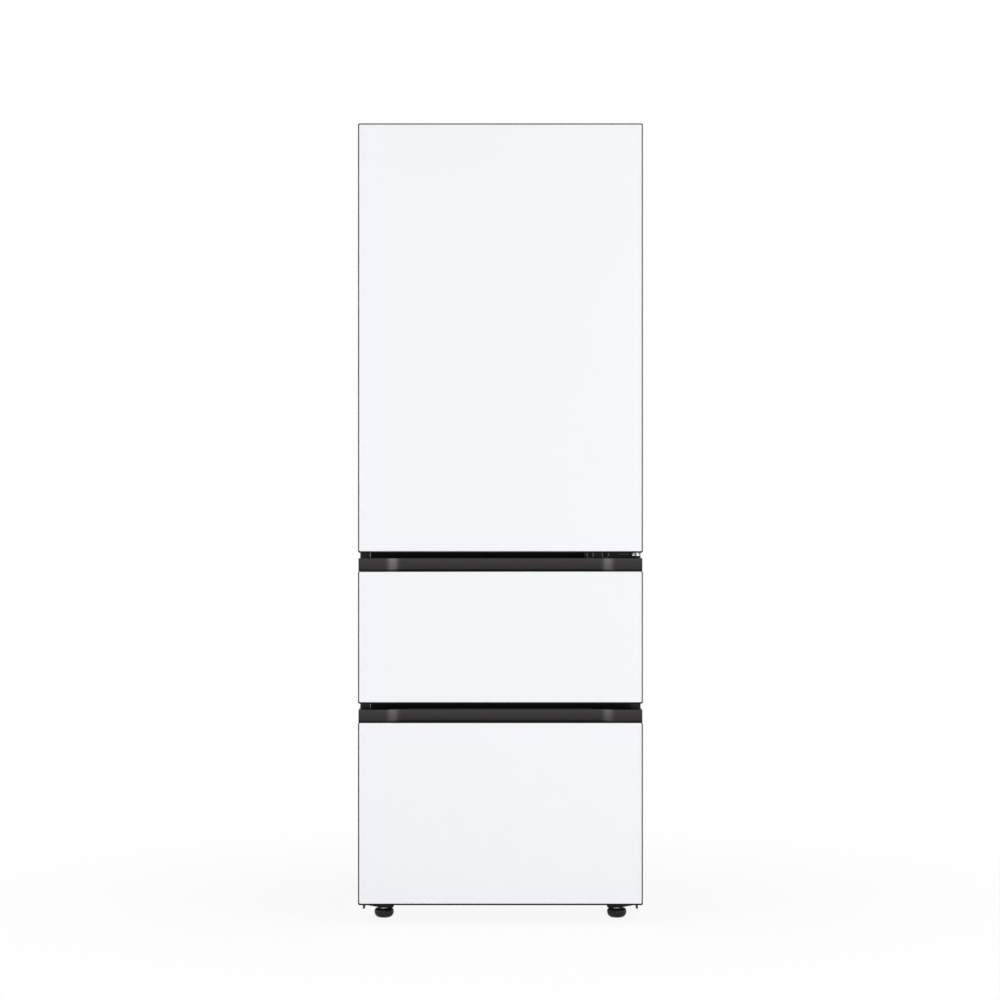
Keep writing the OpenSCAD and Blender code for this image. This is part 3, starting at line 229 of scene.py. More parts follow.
# front is the place on Y before which the colour is swapped for a darker one as painted shade, and that
# colour
def paintedSteel(name, colour, rough=0.38, peel=420, depth=0.00004, mottle=0.03, specular=0.5, front=None):
    f = Finish(name)
    here = f.place()
    cloud = f.noise(here, 3.2, 4, 0.5)
    skin = f.noise(here, peel, 2, 0.5)
    fine = f.noise(here, 2600, 1, 0.5)
    tone = f.mix(cloud, shade(colour, 1 - mottle), shade(colour, 1 + mottle))
    if front:
        tone = f.mix(f.axis("Y") < front[0], tone, front[1])
    return f.set(colour=tone, specular=specular,
                 rough=f.ranged(cloud + 0.25 * fine, 0.35, 0.9, rough - 0.02, rough + 0.03),
                 normal=f.bump(skin + 0.25 * fine, depth))


# along stretches the hairlines: the axis with the smallest number is the one that they run along
def brushedMetal(name, colour, rough, along):
    f = Finish(name)
    streak = f.noise(f.place(along), 5.5, 6, 0.62)
    cloud = f.noise(f.place(), 9, 3, 0.5)
    tone = f.mix(streak, shade(colour, 0.84), shade(colour, 1.16))
    return f.set(colour=f.mix(0.3 * cloud, tone, shade(colour, 0.8)), metal=1.0,
                 rough=f.ranged(streak * 0.6 + cloud * 0.4, 0.3, 0.75, rough - 0.06, rough + 0.09),
                 normal=f.bump(streak, 0.00002))


# folded edge of the case: bare on the left, coloured dark on the right as painted shade
def hemSteel(name, bare, shadeColour):
    f = Finish(name)
    streak = f.noise(f.place((300, 300, 6)), 5.5, 6, 0.62)
    # painted shade on the right-hand hem
    paintedShade = f.axis("X") > 0.0
    return f.set(colour=f.mix(paintedShade, f.mix(streak, *bare), shadeColour), metal=1.0 - paintedShade, specular=0.2,
                 rough=f.ranged(streak, 0.3, 0.75, 0.28, 0.43), normal=f.bump(streak, 0.00002))


# the middle hinge is near black, a painted shade for the gap it sits in, except for its nose under the door;
# a thin edge on the arm's root is lighter and glossier, a painted highlight; the upper one is zinc painted
# duller, as shade
hingeZones = {"glintBefore": -0.3062, "glintHeights": (0.8608, 0.8622), "glintSides": (0.279, 0.304),
              "shadeBehind": -0.3085, "upperFrom": 1.3}


def hingeMetal(name, zinc, dull, shadeColour):
    f = Finish(name)
    streak = f.noise(f.place((120, 120, 8)), 5.5, 5, 0.6)
    speck = f.noise(f.place(), 900, 2, 0.5)
    across, along, height = f.axis("X"), f.axis("Y"), f.axis("Z")
    low, high = hingeZones["glintHeights"]
    left, right = hingeZones["glintSides"]
    # painted highlight: a thin band along the edge of the arm's root
    edgeGlint = (along < hingeZones["glintBefore"]) * (height > low) * (height < high)
    edgeGlint = edgeGlint * (across > left) * (across < right)
    lower = height < hingeZones["upperFrom"]
    # painted shade: the lower hinges are near black behind the nose, less so under the painted highlight
    paintedShade = (along > hingeZones["shadeBehind"]) * lower * (1.0 - 0.6 * edgeGlint)
    # painted shade: the upper hinge's zinc is mixed darker
    bare = f.mix((height > hingeZones["upperFrom"]) * 0.55, f.mix(streak, *zinc), dull)
    return f.set(colour=f.mix(paintedShade, bare, shadeColour), metal=1.0 - paintedShade,
                 rough=f.ranged(streak, 0.3, 0.7, 0.28, 0.42) + 0.12 * paintedShade - 0.25 * edgeGlint,
                 normal=f.bump(streak + speck, 0.00003))


def galvanised(name, colour):
    f = Finish(name)
    here = f.place()
    crystal = f.add("ShaderNodeTexVoronoi", {"feature": "F1"}, {"Vector": here, "Scale": 150.0}, out="Color")
    tone = f.add("ShaderNodeSeparateColor", {}, {0: crystal})
    cloud = f.noise(here, 7, 4, 0.6)
    return f.set(colour=f.mix(tone, shade(colour, 0.93), shade(colour, 1.07)), metal=0.85,
                 rough=f.ranged(tone * 0.6 + cloud * 0.5, 0.2, 0.9, 0.34, 0.52), normal=f.bump(tone, 0.00002))


def rubberSkin(name, colour, rough=0.62):
    f = Finish(name)
    here = f.place()
    cloud = f.noise(here, 34, 4, 0.6)
    speck = f.noise(here, 1900, 2, 0.6)
    return f.set(colour=f.mix(cloud, shade(colour, 0.9), shade(colour, 1.12)),
                 rough=f.ranged(cloud, 0.3, 0.7, rough - 0.07, rough + 0.07), normal=f.bump(speck, 0.00003))


# back-painted glass: an even colour with a very faint cloud, wiped smears in its gloss
def paintedGlass(name, colour):
    f = Finish(name)
    cloud = f.noise(f.place(), 1.6, 3, 0.5)
    smear = f.noise(f.place((1.2, 1, 0.5), (0.3, 0, 0.1)), 7, 5, 0.6)
    wave = f.noise(f.place((1, 1, 0.25)), 5, 1, 0.4)
    return f.set(colour=f.mix(cloud, shade(colour, 0.994), shade(colour, 1.004)), ior=1.5,
                 rough=f.ranged(smear, 0.35, 0.75, 0.045, 0.10), normal=f.bump(wave, 0.0006, 0.05))


# shelf glass: nearly clear over its face, green and denser where the cut edge shows
def clearGlass(name, colour, edgeColour, alpha):
    f = Finish(name)
    smear = f.noise(f.place(), 12, 5, 0.6)
    edge = f.maths("ABSOLUTE", f.axis("Z", "Normal")) < 0.6
    return f.set(colour=f.mix(edge, colour, edgeColour), ior=1.5,
                 alpha=f.ranged(smear, 0.3, 0.8, alpha, alpha + 0.015) + 0.5 * edge,
                 rough=f.ranged(smear, 0.35, 0.8, 0.03, 0.06))


def milkyPlastic(name, colour, alpha, rough):
    f = Finish(name)
    here = f.place()
    cloud = f.noise(here, 14, 4, 0.6)
    speck = f.noise(here, 900, 2, 0.5)
    return f.set(colour=f.mix(cloud, shade(colour, 0.985), shade(colour, 1.01)),
                 alpha=f.ranged(cloud, 0.3, 0.7, alpha - 0.01, alpha + 0.01),
                 rough=f.ranged(cloud + 0.3 * speck, 0.4, 0.9, rough - 0.03, rough + 0.05),
                 normal=f.bump(speck, 0.00002))


def foamSkin(name, colour):
    f = Finish(name)
    here = f.place()
    cells = f.add("ShaderNodeTexVoronoi", {"feature": "F1"}, {"Vector": here, "Scale": 700.0})
    cloud = f.noise(here, 9, 5, 0.6)
    return f.set(colour=f.mix(cloud, shade(colour, 0.88), shade(colour, 1.05)), rough=0.85,
                 normal=f.bump(cells, 0.0003))


# dark anodised strip: hairlines along its length, painted shade brighter towards each strip's top, painted
# shadow along its foot
def graphiteStrip(name, colour, strips, foot):
    f = Finish(name)
    height = f.axis("Z")
    # painted shade: lift goes from 0.3 at a strip's foot to 1 at its top, and is 0 in the painted shadow line
    # below foot
    lift = 0.0
    for low, high in strips:
        inside = (height > low - 0.001) * (height < high + 0.001)
        lift = lift + inside * (0.3 + 0.7 * f.ranged(height, low, high)) * (height > low + foot)
    hair = f.noise(f.place((3, 300, 300)), 5, 5, 0.6)
    cloud = f.noise(f.place(), 5, 3, 0.5)
    tone = f.mix(hair, shade(colour, 0.90), shade(colour, 1.10))
    tone = f.mix(cloud * 0.25, tone, shade(colour, 0.85))
    return f.set(colour=f.mix(lift, f.mix(0.66, tone, (0, 0, 0)), tone), metal=1.0,
                 rough=f.ranged(hair * 0.5 + cloud * 0.5, 0.3, 0.7, 0.34, 0.42),
                 normal=f.bump(hair, 0.000012))


# black knob; its nut and stud, nearer than reach to the middle and above high, are zinc
def footPlastic(name, colour, zincColour, high, centre, reach):
    f = Finish(name)
    here = f.place()
    cloud = f.noise(here, 30, 4, 0.6)
    speck = f.noise(here, 700, 2, 0.6)
    across = f.maths("ABSOLUTE", f.axis("X")) - centre[0]
    along = f.axis("Y") - centre[1]
    zinc = (across * across + along * along < reach * reach) * (f.axis("Z") > high)
    film = f.ranged(f.noise(here, 45, 5, 0.6), 0.52, 0.75, 0.0, 0.03)
    base = f.mix(film, f.mix(cloud, shade(colour, 0.9), shade(colour, 1.1)), (0.5, 0.49, 0.47))
    return f.set(colour=f.mix(zinc, base, zincColour), metal=zinc, specular=0.24,
                 rough=f.ranged(cloud + 0.35 * speck, 0.4, 0.95, 0.30, 0.46) - 0.08 * zinc,
                 normal=f.bump(speck, 0.00006))


def copperTube(name, colour, tarnished):
    f = Finish(name)
    tarnish = f.noise(f.place(), 28, 6, 0.65)
    return f.set(colour=f.mix(f.ranged(tarnish, 0.42, 0.66), colour, tarnished), metal=0.9,
                 rough=f.ranged(tarnish, 0.35, 0.7, 0.28, 0.5), normal=f.bump(tarnish, 0.00005))


# lens that is lit from behind, with fine prisms
def litLens(name, colour, power):
    f = Finish(name)
    prism = f.add("ShaderNodeTexWave", {"bands_direction": "X"}, {"Vector": f.place(), "Scale": 260.0},
                  out="Fac")
    return f.set(colour=colour, rough=0.35, glow=f.mix(prism, shade(colour, 0.8), colour), glowPower=power,
                 normal=f.bump(prism, 0.0002))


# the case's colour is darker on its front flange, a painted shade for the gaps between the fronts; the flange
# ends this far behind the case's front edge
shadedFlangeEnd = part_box("outer_case")[0][1] + 0.004
gripHeights = [(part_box(node)[0][2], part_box(node)[1][2]) for node in ("lower_grip", "middle_grip")]

finishPlan = {
    "case_steel": (paintedSteel, {"colour": (0.040, 0.040, 0.042), "rough": 0.42, "peel": 380,
                                  "depth": 0.00005, "mottle": 0.05, "specular": 0.3,
                                  "front": (shadedFlangeEnd, (0.016, 0.016, 0.017))}),
    "back_steel": (galvanised, {"colour": (0.50, 0.51, 0.52)}),
    "foam": (foamSkin, {"colour": (0.86, 0.78, 0.56)}),
    "liner_white": (mouldedPlastic, {"colour": (0.80, 0.82, 0.82), "rough": 0.34, "grain": 1300,
                                     "depth": 0.00002, "mottle": 0.015}),
    # the mullions are near black, a painted shade for the deep gaps between the fronts
    "dark_flange": (paintedSteel, {"colour": (0.008, 0.008, 0.0085), "rough": 0.6, "peel": 500,
                                   "specular": 0.12}),
    "hinge_steel": (hingeMetal, {"zinc": ((0.36, 0.36, 0.35), (0.50, 0.50, 0.51)), "dull": (0.10, 0.10, 0.10),
                                 "shadeColour": (0.010, 0.010, 0.011)}),
    "edge_grey": (mouldedPlastic, {"colour": (0.010, 0.010, 0.011), "rough": 0.6, "grain": 1700,
                                   "depth": 0.00002, "mottle": 0.05, "specular": 0.1}),
    "evaporator_fins": (brushedMetal, {"colour": (0.72, 0.73, 0.74), "rough": 0.35, "along": (200, 200, 10)}),
    "motor_grey": (mouldedPlastic, {"colour": (0.09, 0.10, 0.11), "rough": 0.5, "grain": 900,
                                    "depth": 0.00004, "mottle": 0.08, "dust": 0.12}),
    "panel_grey": (mouldedPlastic, {"colour": (0.66, 0.68, 0.70), "rough": 0.22, "depth": 0.00001,
                                    "mottle": 0.02}),
    "shelf_glass": (clearGlass, {"colour": (0.80, 0.93, 0.90), "edgeColour": (0.16, 0.42, 0.34),
                                 "alpha": 0.28}),
    "container_ivory": (mouldedPlastic, {"colour": (0.76, 0.74, 0.66), "rough": 0.36, "grain": 1100,
                                         "mottle": 0.025}),
    "lid_grey": (mouldedPlastic, {"colour": (0.26, 0.29, 0.31), "rough": 0.38, "grain": 1200,
                                  "mottle": 0.04}),
    "slide_steel": (brushedMetal, {"colour": (0.56, 0.57, 0.58), "rough": 0.32, "along": (200, 5, 200)}),
    "acetal_white": (mouldedPlastic, {"colour": (0.78, 0.78, 0.74), "rough": 0.4, "grain": 1400,
                                      "depth": 0.00002, "mottle": 0.02}),
    "compressor_black": (paintedSteel, {"colour": (0.010, 0.010, 0.011), "rough": 0.45, "peel": 260,
                                        "depth": 0.00010, "mottle": 0.10, "specular": 0.35}),
    "condenser_tube": (copperTube, {"colour": (0.62, 0.33, 0.19), "tarnished": (0.20, 0.10, 0.06)}),
    "tray_black": (mouldedPlastic, {"colour": (0.03, 0.03, 0.032), "rough": 0.5, "grain": 800,
                                    "depth": 0.00005, "mottle": 0.08, "dust": 0.18}),
    "gland_black": (rubberSkin, {"colour": (0.022, 0.022, 0.023)}),
    "front_glass": (paintedGlass, {"colour": (0.850, 0.865, 0.880)}),
    "seal_grey": (rubberSkin, {"colour": (0.50, 0.51, 0.52), "rough": 0.55}),
    # foot is the height of the painted shadow line along each grip strip's foot
    "graphite_grip": (graphiteStrip, {"colour": (0.056, 0.054, 0.053), "strips": gripHeights,
                                      "foot": 0.0042}),
    "basket_clear": (milkyPlastic, {"colour": (0.78, 0.86, 0.90), "alpha": 0.45, "rough": 0.2}),
    "bush_black": (mouldedPlastic, {"colour": (0.03, 0.03, 0.03), "rough": 0.4, "grain": 1200,
                                    "depth": 0.00002}),
    "bin_white": (mouldedPlastic, {"colour": (0.78, 0.80, 0.81), "rough": 0.36, "grain": 1200,
                                   "mottle": 0.02}),
    "fan_white": (mouldedPlastic, {"colour": (0.72, 0.74, 0.76), "rough": 0.4, "grain": 1200,
                                   "depth": 0.00002}),
    "fan_black": (mouldedPlastic, {"colour": (0.03, 0.03, 0.03), "grain": 900, "mottle": 0.08, "dust": 0.12}),
    "foot_black": (footPlastic, {"colour": (0.007, 0.007, 0.0075), "zincColour": (0.90, 0.90, 0.88),
                                 "high": 0.02095, "centre": (0.276, -0.2775), "reach": 0.0098}),
    "roller_black": (mouldedPlastic, {"colour": (0.03, 0.03, 0.032), "rough": 0.5, "grain": 700,
                                      "depth": 0.00006, "mottle": 0.10, "dust": 0.15}),
    # finishes of the pieces that only this script makes
    "screw_zinc": (brushedMetal, {"colour": (0.46, 0.46, 0.45), "rough": 0.3, "along": (500, 500, 60)}),
    "bracket_black": (paintedSteel, {"colour": (0.006, 0.006, 0.0065), "rough": 0.5, "peel": 260,
                                     "depth": 0.00008, "mottle": 0.12, "specular": 0.2}),
    "screw_black": (mouldedPlastic, {"colour": (0.008, 0.008, 0.0085), "rough": 0.34, "grain": 1600,
                                     "depth": 0.00002, "mottle": 0.08, "specular": 0.25}),
    "washer_grey": (brushedMetal, {"colour": (0.17, 0.17, 0.17), "rough": 0.16, "along": (300, 300, 60)}),
    "hem_metal": (hemSteel, {"bare": ((0.25, 0.25, 0.25), (0.35, 0.35, 0.35)),
                             "shadeColour": (0.012, 0.012, 0.013)}),
    "window_dark": (paintedGlass, {"colour": (0.012, 0.014, 0.018)}),
    "key_grey": (mouldedPlastic, {"colour": (0.30, 0.33, 0.36), "rough": 0.3, "depth": 0.00001}),
    "lamp_milk": (litLens, {"colour": (0.95, 0.96, 1.0), "power": 2.5}),
}
finishes = {name: make(name, **values) for name, (make, values) in finishPlan.items()}
print("finishes made:", len(finishes))

replaced = set()  # CAD nodes that a piece stands for
weld = 0.000002   # points nearer than this are one


# smooth is the angle in degrees past which an edge stays sharp; a piece without a node rides on a given body
def link(name, bm, finish, node=None, body=None, smooth=30):
    mesh = bpy.data.meshes.new(name)
    bm.to_mesh(mesh)
    bm.free()
    if "custom_normal" in mesh.attributes:  # a copied CAD mesh brings its old normals along
        mesh.attributes.remove(mesh.attributes["custom_normal"])
    mesh.shade_smooth()
    mesh.set_sharp_from_angle(angle=math.radians(smooth))
    piece = bpy.data.objects.new(name, mesh)
    bpy.context.scene.collection.objects.link(piece)
    mesh.materials.clear()
    mesh.materials.append(finishes[finish])
    normals = piece.modifiers.new("normals", "WEIGHTED_NORMAL")
    normals.keep_sharp = True
    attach(piece, body or bodyOf(node))
    if node:
        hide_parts(node)
        replaced.add(node)


# how far each CAD node's sharp edges are rounded, in metres
softEdges = {
    "outer_case": 0.00035, "cabinet_back": 0.0003, "base_pan": 0.0003, "front_mullions": 0.0004,
    "hinge_brackets": 0.0006, "hinge_cover": 0.0009, "duct_cover": 0.0007, "control_panel": 0.0006,
    "shelf_glass": 0.0008, "shelf_trims": 0.0005, "upper_containers": 0.0009, "upper_lids": 0.0009,
    "middle_containers": 0.0009, "middle_lids": 0.0009, "lower_containers": 0.0009, "lower_lids": 0.0009,
    "drain_tray": 0.0005, "rear_cover": 0.0003, "base_brackets": 0.0005,
    "door_glass": 0.0009, "middle_glass": 0.0009, "lower_glass": 0.0009,
    "door_frame": 0.0008, "middle_frame": 0.0008, "lower_frame": 0.0003,
    "middle_grip": 0.0009, "lower_grip": 0.0009, "door_grip_cap": 0.0009,
    "door_liner": 0.0008, "middle_front_liner": 0.0005, "lower_front_liner": 0.0005,
    "door_baskets": 0.0007, "middle_bin": 0.0009, "lower_bin": 0.0009,
    "middle_runners": 0.0004, "lower_runners": 0.0004, "fixed_slides": 0.0003, "middle_slides": 0.0003,
    "lower_slides": 0.0003, "fan_motors": 0.0006, "compressor": 0.0006, "rear_rollers": 0.0008,
    "cord_gland": 0.0005,
}
# flat and corner are in degrees: flatter faces are joined, and sharper edges are rounded
softening = {"flat": 0.6, "corner": 28, "segments": 2}


# copy of a CAD node with its flat triangles joined and its edges rounded over
def softenedMesh(node, width):
    bm = bmesh.new()
    bm.from_mesh(frame["nodes"][node].data)
    bmesh.ops.remove_doubles(bm, verts=bm.verts, dist=weld)
    bmesh.ops.dissolve_limit(bm, angle_limit=math.radians(softening["flat"]), verts=bm.verts, edges=bm.edges)
    corner = math.radians(softening["corner"])
    sharp = [e for e in bm.edges if len(e.link_faces) == 2 and e.calc_face_angle(0) > corner]
    bmesh.ops.bevel(bm, geom=sharp, offset=width, offset_type="OFFSET", affect="EDGES",
                    segments=softening["segments"], profile=0.5, material=-1, clamp_overlap=False)
    bmesh.ops.triangulate(bm, faces=[f for f in bm.faces if len(f.verts) > 4])
    return bm


for node, width in softEdges.items():
    finish = "bracket_black" if node == "base_brackets" else slotOf[node]
    link(node + "_body", softenedMesh(node, width), finish, node)
print("softened pieces:", len(softEdges))


def vertsOf(geom):
    return [g for g in geom if isinstance(g, bmesh.types.BMVert)]


def edgesOf(geom):
    return [g for g in geom if isinstance(g, bmesh.types.BMEdge)]


# draws a loop of points and edges straight on by a step, and gives back the new loop
def drawOn(bm, edges, step):
    drawn = bmesh.ops.extrude_edge_only(bm, edges=edges)["geom"]
    loop = vertsOf(drawn)
    bmesh.ops.translate(bm, verts=loop, vec=step)
    return loop, [e for e in edgesOf(drawn) if all(v in loop for v in e.verts)]


# ring of one section round a rounded rectangle that stands in the XZ plane: a quarter turn at each corner and
# a straight run to the next; the section's u runs inward from the ring's outer edge and its v along Y
def sweptRing(bm, low, high, radius, section, y, steps=7):
    right, top = high[0] - radius, high[1] - radius
    left, bottom = low[0] + radius, low[1] + radius
    loop = [bm.verts.new((high[0] - u, y + v, top)) for u, v in section]
    edges = [bm.edges.new((loop[i], loop[(i + 1) % len(loop)])) for i in range(len(loop))]
    centres = [(right, top), (left, top), (left, bottom), (right, bottom)]
    for i, centre in enumerate(centres):
        around = bmesh.ops.spin(bm, geom=loop + edges, cent=(centre[0], 0, centre[1]), axis=(0, -1, 0),
                                angle=math.radians(90), steps=steps, use_merge=False)["geom_last"]
        following = centres[(i + 1) % 4]
        loop, edges = drawOn(bm, edgesOf(around), (following[0] - centre[0], 0, following[1] - centre[1]))
    bmesh.ops.remove_doubles(bm, verts=bm.verts, dist=5 * weld)
    bmesh.ops.recalc_face_normals(bm, faces=bm.faces)


# magnetic seal: a foot in the front's groove, two bellows folds and the magnet's pocket on top; millimetres
sealShape = {"cornerRadius": 14,
             "section": ((0.3, 0), (0, 0.6), (0, 1.2), (1.6, 1.7), (2.0, 2.3), (1.0, 2.9), (0.35, 3.5),
                         (0.6, 4.1), (1.9, 4.6), (1.0, 5.0), (0.7, 5.6), (0.7, 7.0), (1.3, 7.6), (10.7, 7.6),
                         (11.3, 7.0), (11.3, 5.6), (11.0, 5.0), (10.1, 4.6), (11.4, 4.1), (11.65, 3.5),
                         (11.0, 2.9), (10.0, 2.3), (10.4, 1.7), (12, 1.2), (12, 0.6), (11.7, 0))}

for node in ("door_seal", "middle_seal", "lower_seal"):
    low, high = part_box(node)
    seal = bmesh.new()
    sweptRing(seal, (low[0], low[2]), (high[0], high[2]), sealShape["cornerRadius"] / 1000,
              [(u / 1000, v / 1000) for u, v in sealShape["section"]], low[1])
    link(node + "_bellows", seal, "seal_grey", node, smooth=50)
print("seals made: 3")


# turns a profile, given as radius and height, once round Z
def turned(bm, points, steps):
    side = [bm.verts.new((across, 0, up)) for across, up in points]
    profile = [bm.edges.new(pair) for pair in zip(side, side[1:])]
    bmesh.ops.spin(bm, geom=side + profile, cent=(0, 0, 0), axis=(0, 0, 1), angle=math.radians(360),
                   steps=steps, use_merge=True)
    bmesh.ops.remove_doubles(bm, verts=bm.verts, dist=weld)


# levelling foot: bulging knob with grip flutes, a hex nut on it and the stud up into the bracket; millimetres
footShape = {"profile": ((0, 0), (12.5, 0), (14.5, 0.4), (18.2, 2.6), (20.8, 5.6), (22.4, 9.2), (23.0, 13),
                         (22.6, 17), (21.2, 19.8), (19.4, 21.2), (17.6, 21.6), (10.5, 21.6), (10, 21.0),
                         (0, 21.0)),
             "flutes": 20, "fluteDepth": 0.05, "fluteHeights": (4, 20.5), "fluteFrom": 19,
             "nut": 8.6, "nutHeights": (20.9, 27.2), "nutTurn": 0.3, "stud": 5.0}


def makeFoot(node):
    low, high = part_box(node)
    bm = bmesh.new()
    columns = 4 * footShape["flutes"]
    turned(bm, [(across / 1000, up / 1000) for across, up in footShape["profile"]], columns)
    fluteLow, fluteHigh = [up / 1000 for up in footShape["fluteHeights"]]
    for v in bm.verts:
        column = round(math.atan2(v.co.y, v.co.x) / (2 * math.pi) * columns)
        outside = v.co.xy.length > footShape["fluteFrom"] / 1000
        if column % 4 == 0 and outside and fluteLow < v.co.z < fluteHigh:
            v.co.xy *= 1 - footShape["fluteDepth"]
    nutLow, nutHigh = [up / 1000 for up in footShape["nutHeights"]]
    nut, stud = footShape["nut"] / 1000, footShape["stud"] / 1000
    for sides, radius, base, top, turn in ((6, nut, nutLow, nutHigh, footShape["nutTurn"]),
                                           (24, stud, nutHigh, high[2], 0)):
        place = Matrix.Translation((0, 0, (top + base) / 2)) @ Matrix.Rotation(turn, 4, "Z")
        bmesh.ops.create_cone(bm, cap_ends=True, segments=sides, radius1=radius, radius2=radius,
                              depth=top - base, matrix=place)
    bmesh.ops.recalc_face_normals(bm, faces=bm.faces)
    bmesh.ops.translate(bm, verts=bm.verts, vec=((low[0] + high[0]) / 2, (low[1] + high[1]) / 2, 0))
    link(node + "_body", bm, "foot_black", node, smooth=35)


makeFoot("front_foot_left")
makeFoot("front_foot_right")
print("feet made: 2")


# screw head with a cross recess, in shares of its radius and height
screwShape = {"outline": ((1.0, 0.0), (1.0, 0.4), (0.95, 0.7), (0.84, 0.92), (0.68, 1.0)), "steps": 28,
              "arm": 0.52, "slot": 0.13, "depth": 0.75, "floor": 0.8}


# axis points out of the surface that the screw holds
def screwHead(bm, at, axis, radius, height, turn):
    own = bmesh.new()
    outline = [(radius * share, height * rise) for share, rise in screwShape["outline"]]
    turned(own, outline, screwShape["steps"])
    rims = [e for e in own.edges if e.is_boundary]
    upper = [e for e in rims if e.verts[0].co.z > 0.5 * height]
    bmesh.ops.contextual_create(own, geom=[e for e in rims if e not in upper])
    # plus-shaped face, sunk to the recess's floor, with the flat ring round it filled last
    arm, half = radius * screwShape["arm"], radius * screwShape["slot"]
    corners = [(arm, -half), (arm, half), (half, half), (half, arm), (-half, arm), (-half, half),
               (-arm, half), (-arm, -half), (-half, -half), (-half, -arm), (half, -arm), (half, -half)]
    plus = own.faces.new([own.verts.new((x, y, height)) for x, y in corners])
    lip = list(plus.edges)
    floor = vertsOf(bmesh.ops.extrude_face_region(own, geom=[plus])["geom"])
    bmesh.ops.delete(own, geom=[plus], context="FACES_ONLY")
    bmesh.ops.translate(own, verts=floor, vec=(0, 0, -height * screwShape["depth"]))
    bmesh.ops.scale(own, verts=floor, vec=(screwShape["floor"], screwShape["floor"], 1))
    bmesh.ops.triangle_fill(own, edges=upper + lip, use_beauty=True)
    bmesh.ops.recalc_face_normals(own, faces=own.faces)
    bmesh.ops.rotate(own, verts=own.verts, matrix=Matrix.Rotation(turn, 3, "Z"))
    facing = Vector((0, 0, 1)).rotation_difference(Vector(axis)).to_matrix()
    bmesh.ops.rotate(own, verts=own.verts, matrix=facing)
    bmesh.ops.translate(own, verts=own.verts, vec=at)
    mesh = bpy.data.meshes.new("head")
    own.to_mesh(mesh)
    own.free()
    bm.from_mesh(mesh)
    bpy.data.meshes.remove(mesh)


# plate between two corners: radius rounds its upright edges and soft all the others
def plate(bm, low, high, radius, soft=0.0003, steps=5):
    box = bmesh.ops.create_cube(bm, size=1)["verts"]
    bmesh.ops.scale(bm, verts=box, vec=[b - a for a, b in zip(low, high)])
    bmesh.ops.translate(bm, verts=box, vec=[(a + b) / 2 for a, b in zip(low, high)])
    upright = {e for v in box for e in v.link_edges if abs(e.verts[0].co.z - e.verts[1].co.z) > soft}
    sides = bmesh.ops.bevel(bm, geom=list(upright), offset=radius, offset_type="OFFSET", affect="EDGES",
                            segments=steps, profile=0.5, material=-1)["verts"]
    rims = {e for v in sides for e in v.link_edges if abs(e.verts[0].co.z - e.verts[1].co.z) < soft / 2}
    bmesh.ops.bevel(bm, geom=list(rims), offset=soft, offset_type="OFFSET", affect="EDGES", segments=2,
                    profile=0.5, material=-1)


# folded hem along the inner edge of the case's front flange
hemShape = {"inside": 0.0005, "outside": 0.0011, "before": 0.0009, "behind": 0.0004, "lift": 0.001,
            "radius": 0.0004, "soft": 0.0002, "steps": 3}


def makeHem():
    low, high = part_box("front_mullions")
    bottom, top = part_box("outer_case")[0][2] + hemShape["lift"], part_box("upper_liner")[1][2]
    bm = bmesh.new()
    for side in (-1, 1):
        left, right = sorted((side * (high[0] - hemShape["inside"]), side * (high[0] + hemShape["outside"])))
        plate(bm, (left, low[1] - hemShape["before"], bottom), (right, low[1] + hemShape["behind"], top),
              hemShape["radius"], hemShape["soft"], hemShape["steps"])
    link("case_hem", bm, "hem_metal", body="cabinet")


# folded edges of the side walls beside the machine room's cover
foldShape = {"fromSide": 0.0006, "underCover": 0.009, "thick": 0.0009, "fromFloor": 0.0015, "overBack": 0.001,
             "radius": 0.0004, "soft": 0.0002, "steps": 2}


def makeRearFolds():
    low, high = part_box("outer_case")
    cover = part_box("rear_cover")[1][0] - foldShape["underCover"]
    bottom, top = low[2] + foldShape["fromFloor"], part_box("cabinet_back")[0][2] + foldShape["overBack"]
    bm = bmesh.new()
    for side in (-1, 1):
        left, right = sorted((side * (high[0] - foldShape["fromSide"]), side * cover))
        plate(bm, (left, high[1], bottom), (right, high[1] + foldShape["thick"], top),
              foldShape["radius"], foldShape["soft"], foldShape["steps"])
    link("case_rear_folds", bm, "case_steel", body="cabinet")


# tube that runs to and fro: a ring is drawn along each run, and past its end turned half round into the next
def serpentine(bm, start, along, up, length, gap, runs, radius, sides=12, steps=8):
    at, along, up = Vector(start), Vector(along), Vector(up)
    facing = Vector((0, 0, 1)).rotation_difference(along).to_matrix().to_4x4()
    ring = bmesh.ops.create_circle(bm, cap_ends=False, segments=sides, radius=radius,
                                   matrix=Matrix.Translation(at) @ facing)["verts"]
    edges = list({e for v in ring for e in v.link_edges})
    ends = list(edges)
    for run in range(runs):
        heading = along if run % 2 == 0 else -along
        ring, edges = drawOn(bm, edges, heading * length)
        at += heading * length
        if run < runs - 1:
            around = bmesh.ops.spin(bm, geom=ring + edges, cent=at + up * gap / 2, axis=heading.cross(up),
                                    angle=math.radians(180), steps=steps, use_merge=False)["geom_last"]
            edges = edgesOf(around)
            at += up * gap
    bmesh.ops.holes_fill(bm, edges=ends + edges, sides=0)


# both coils keep the CAD nodes' runs and have their return bends outside the frames and end fins
condenserShape = {"layers": 3, "runs": 6, "gap": 0.026, "tube": 0.003, "margin": 0.020, "lift": 0.018,
                  "frameInset": 0.0105, "frameThick": 0.003, "bar": 0.014, "step": 0.0002,
                  "radius": 0.0008, "soft": 0.0003}


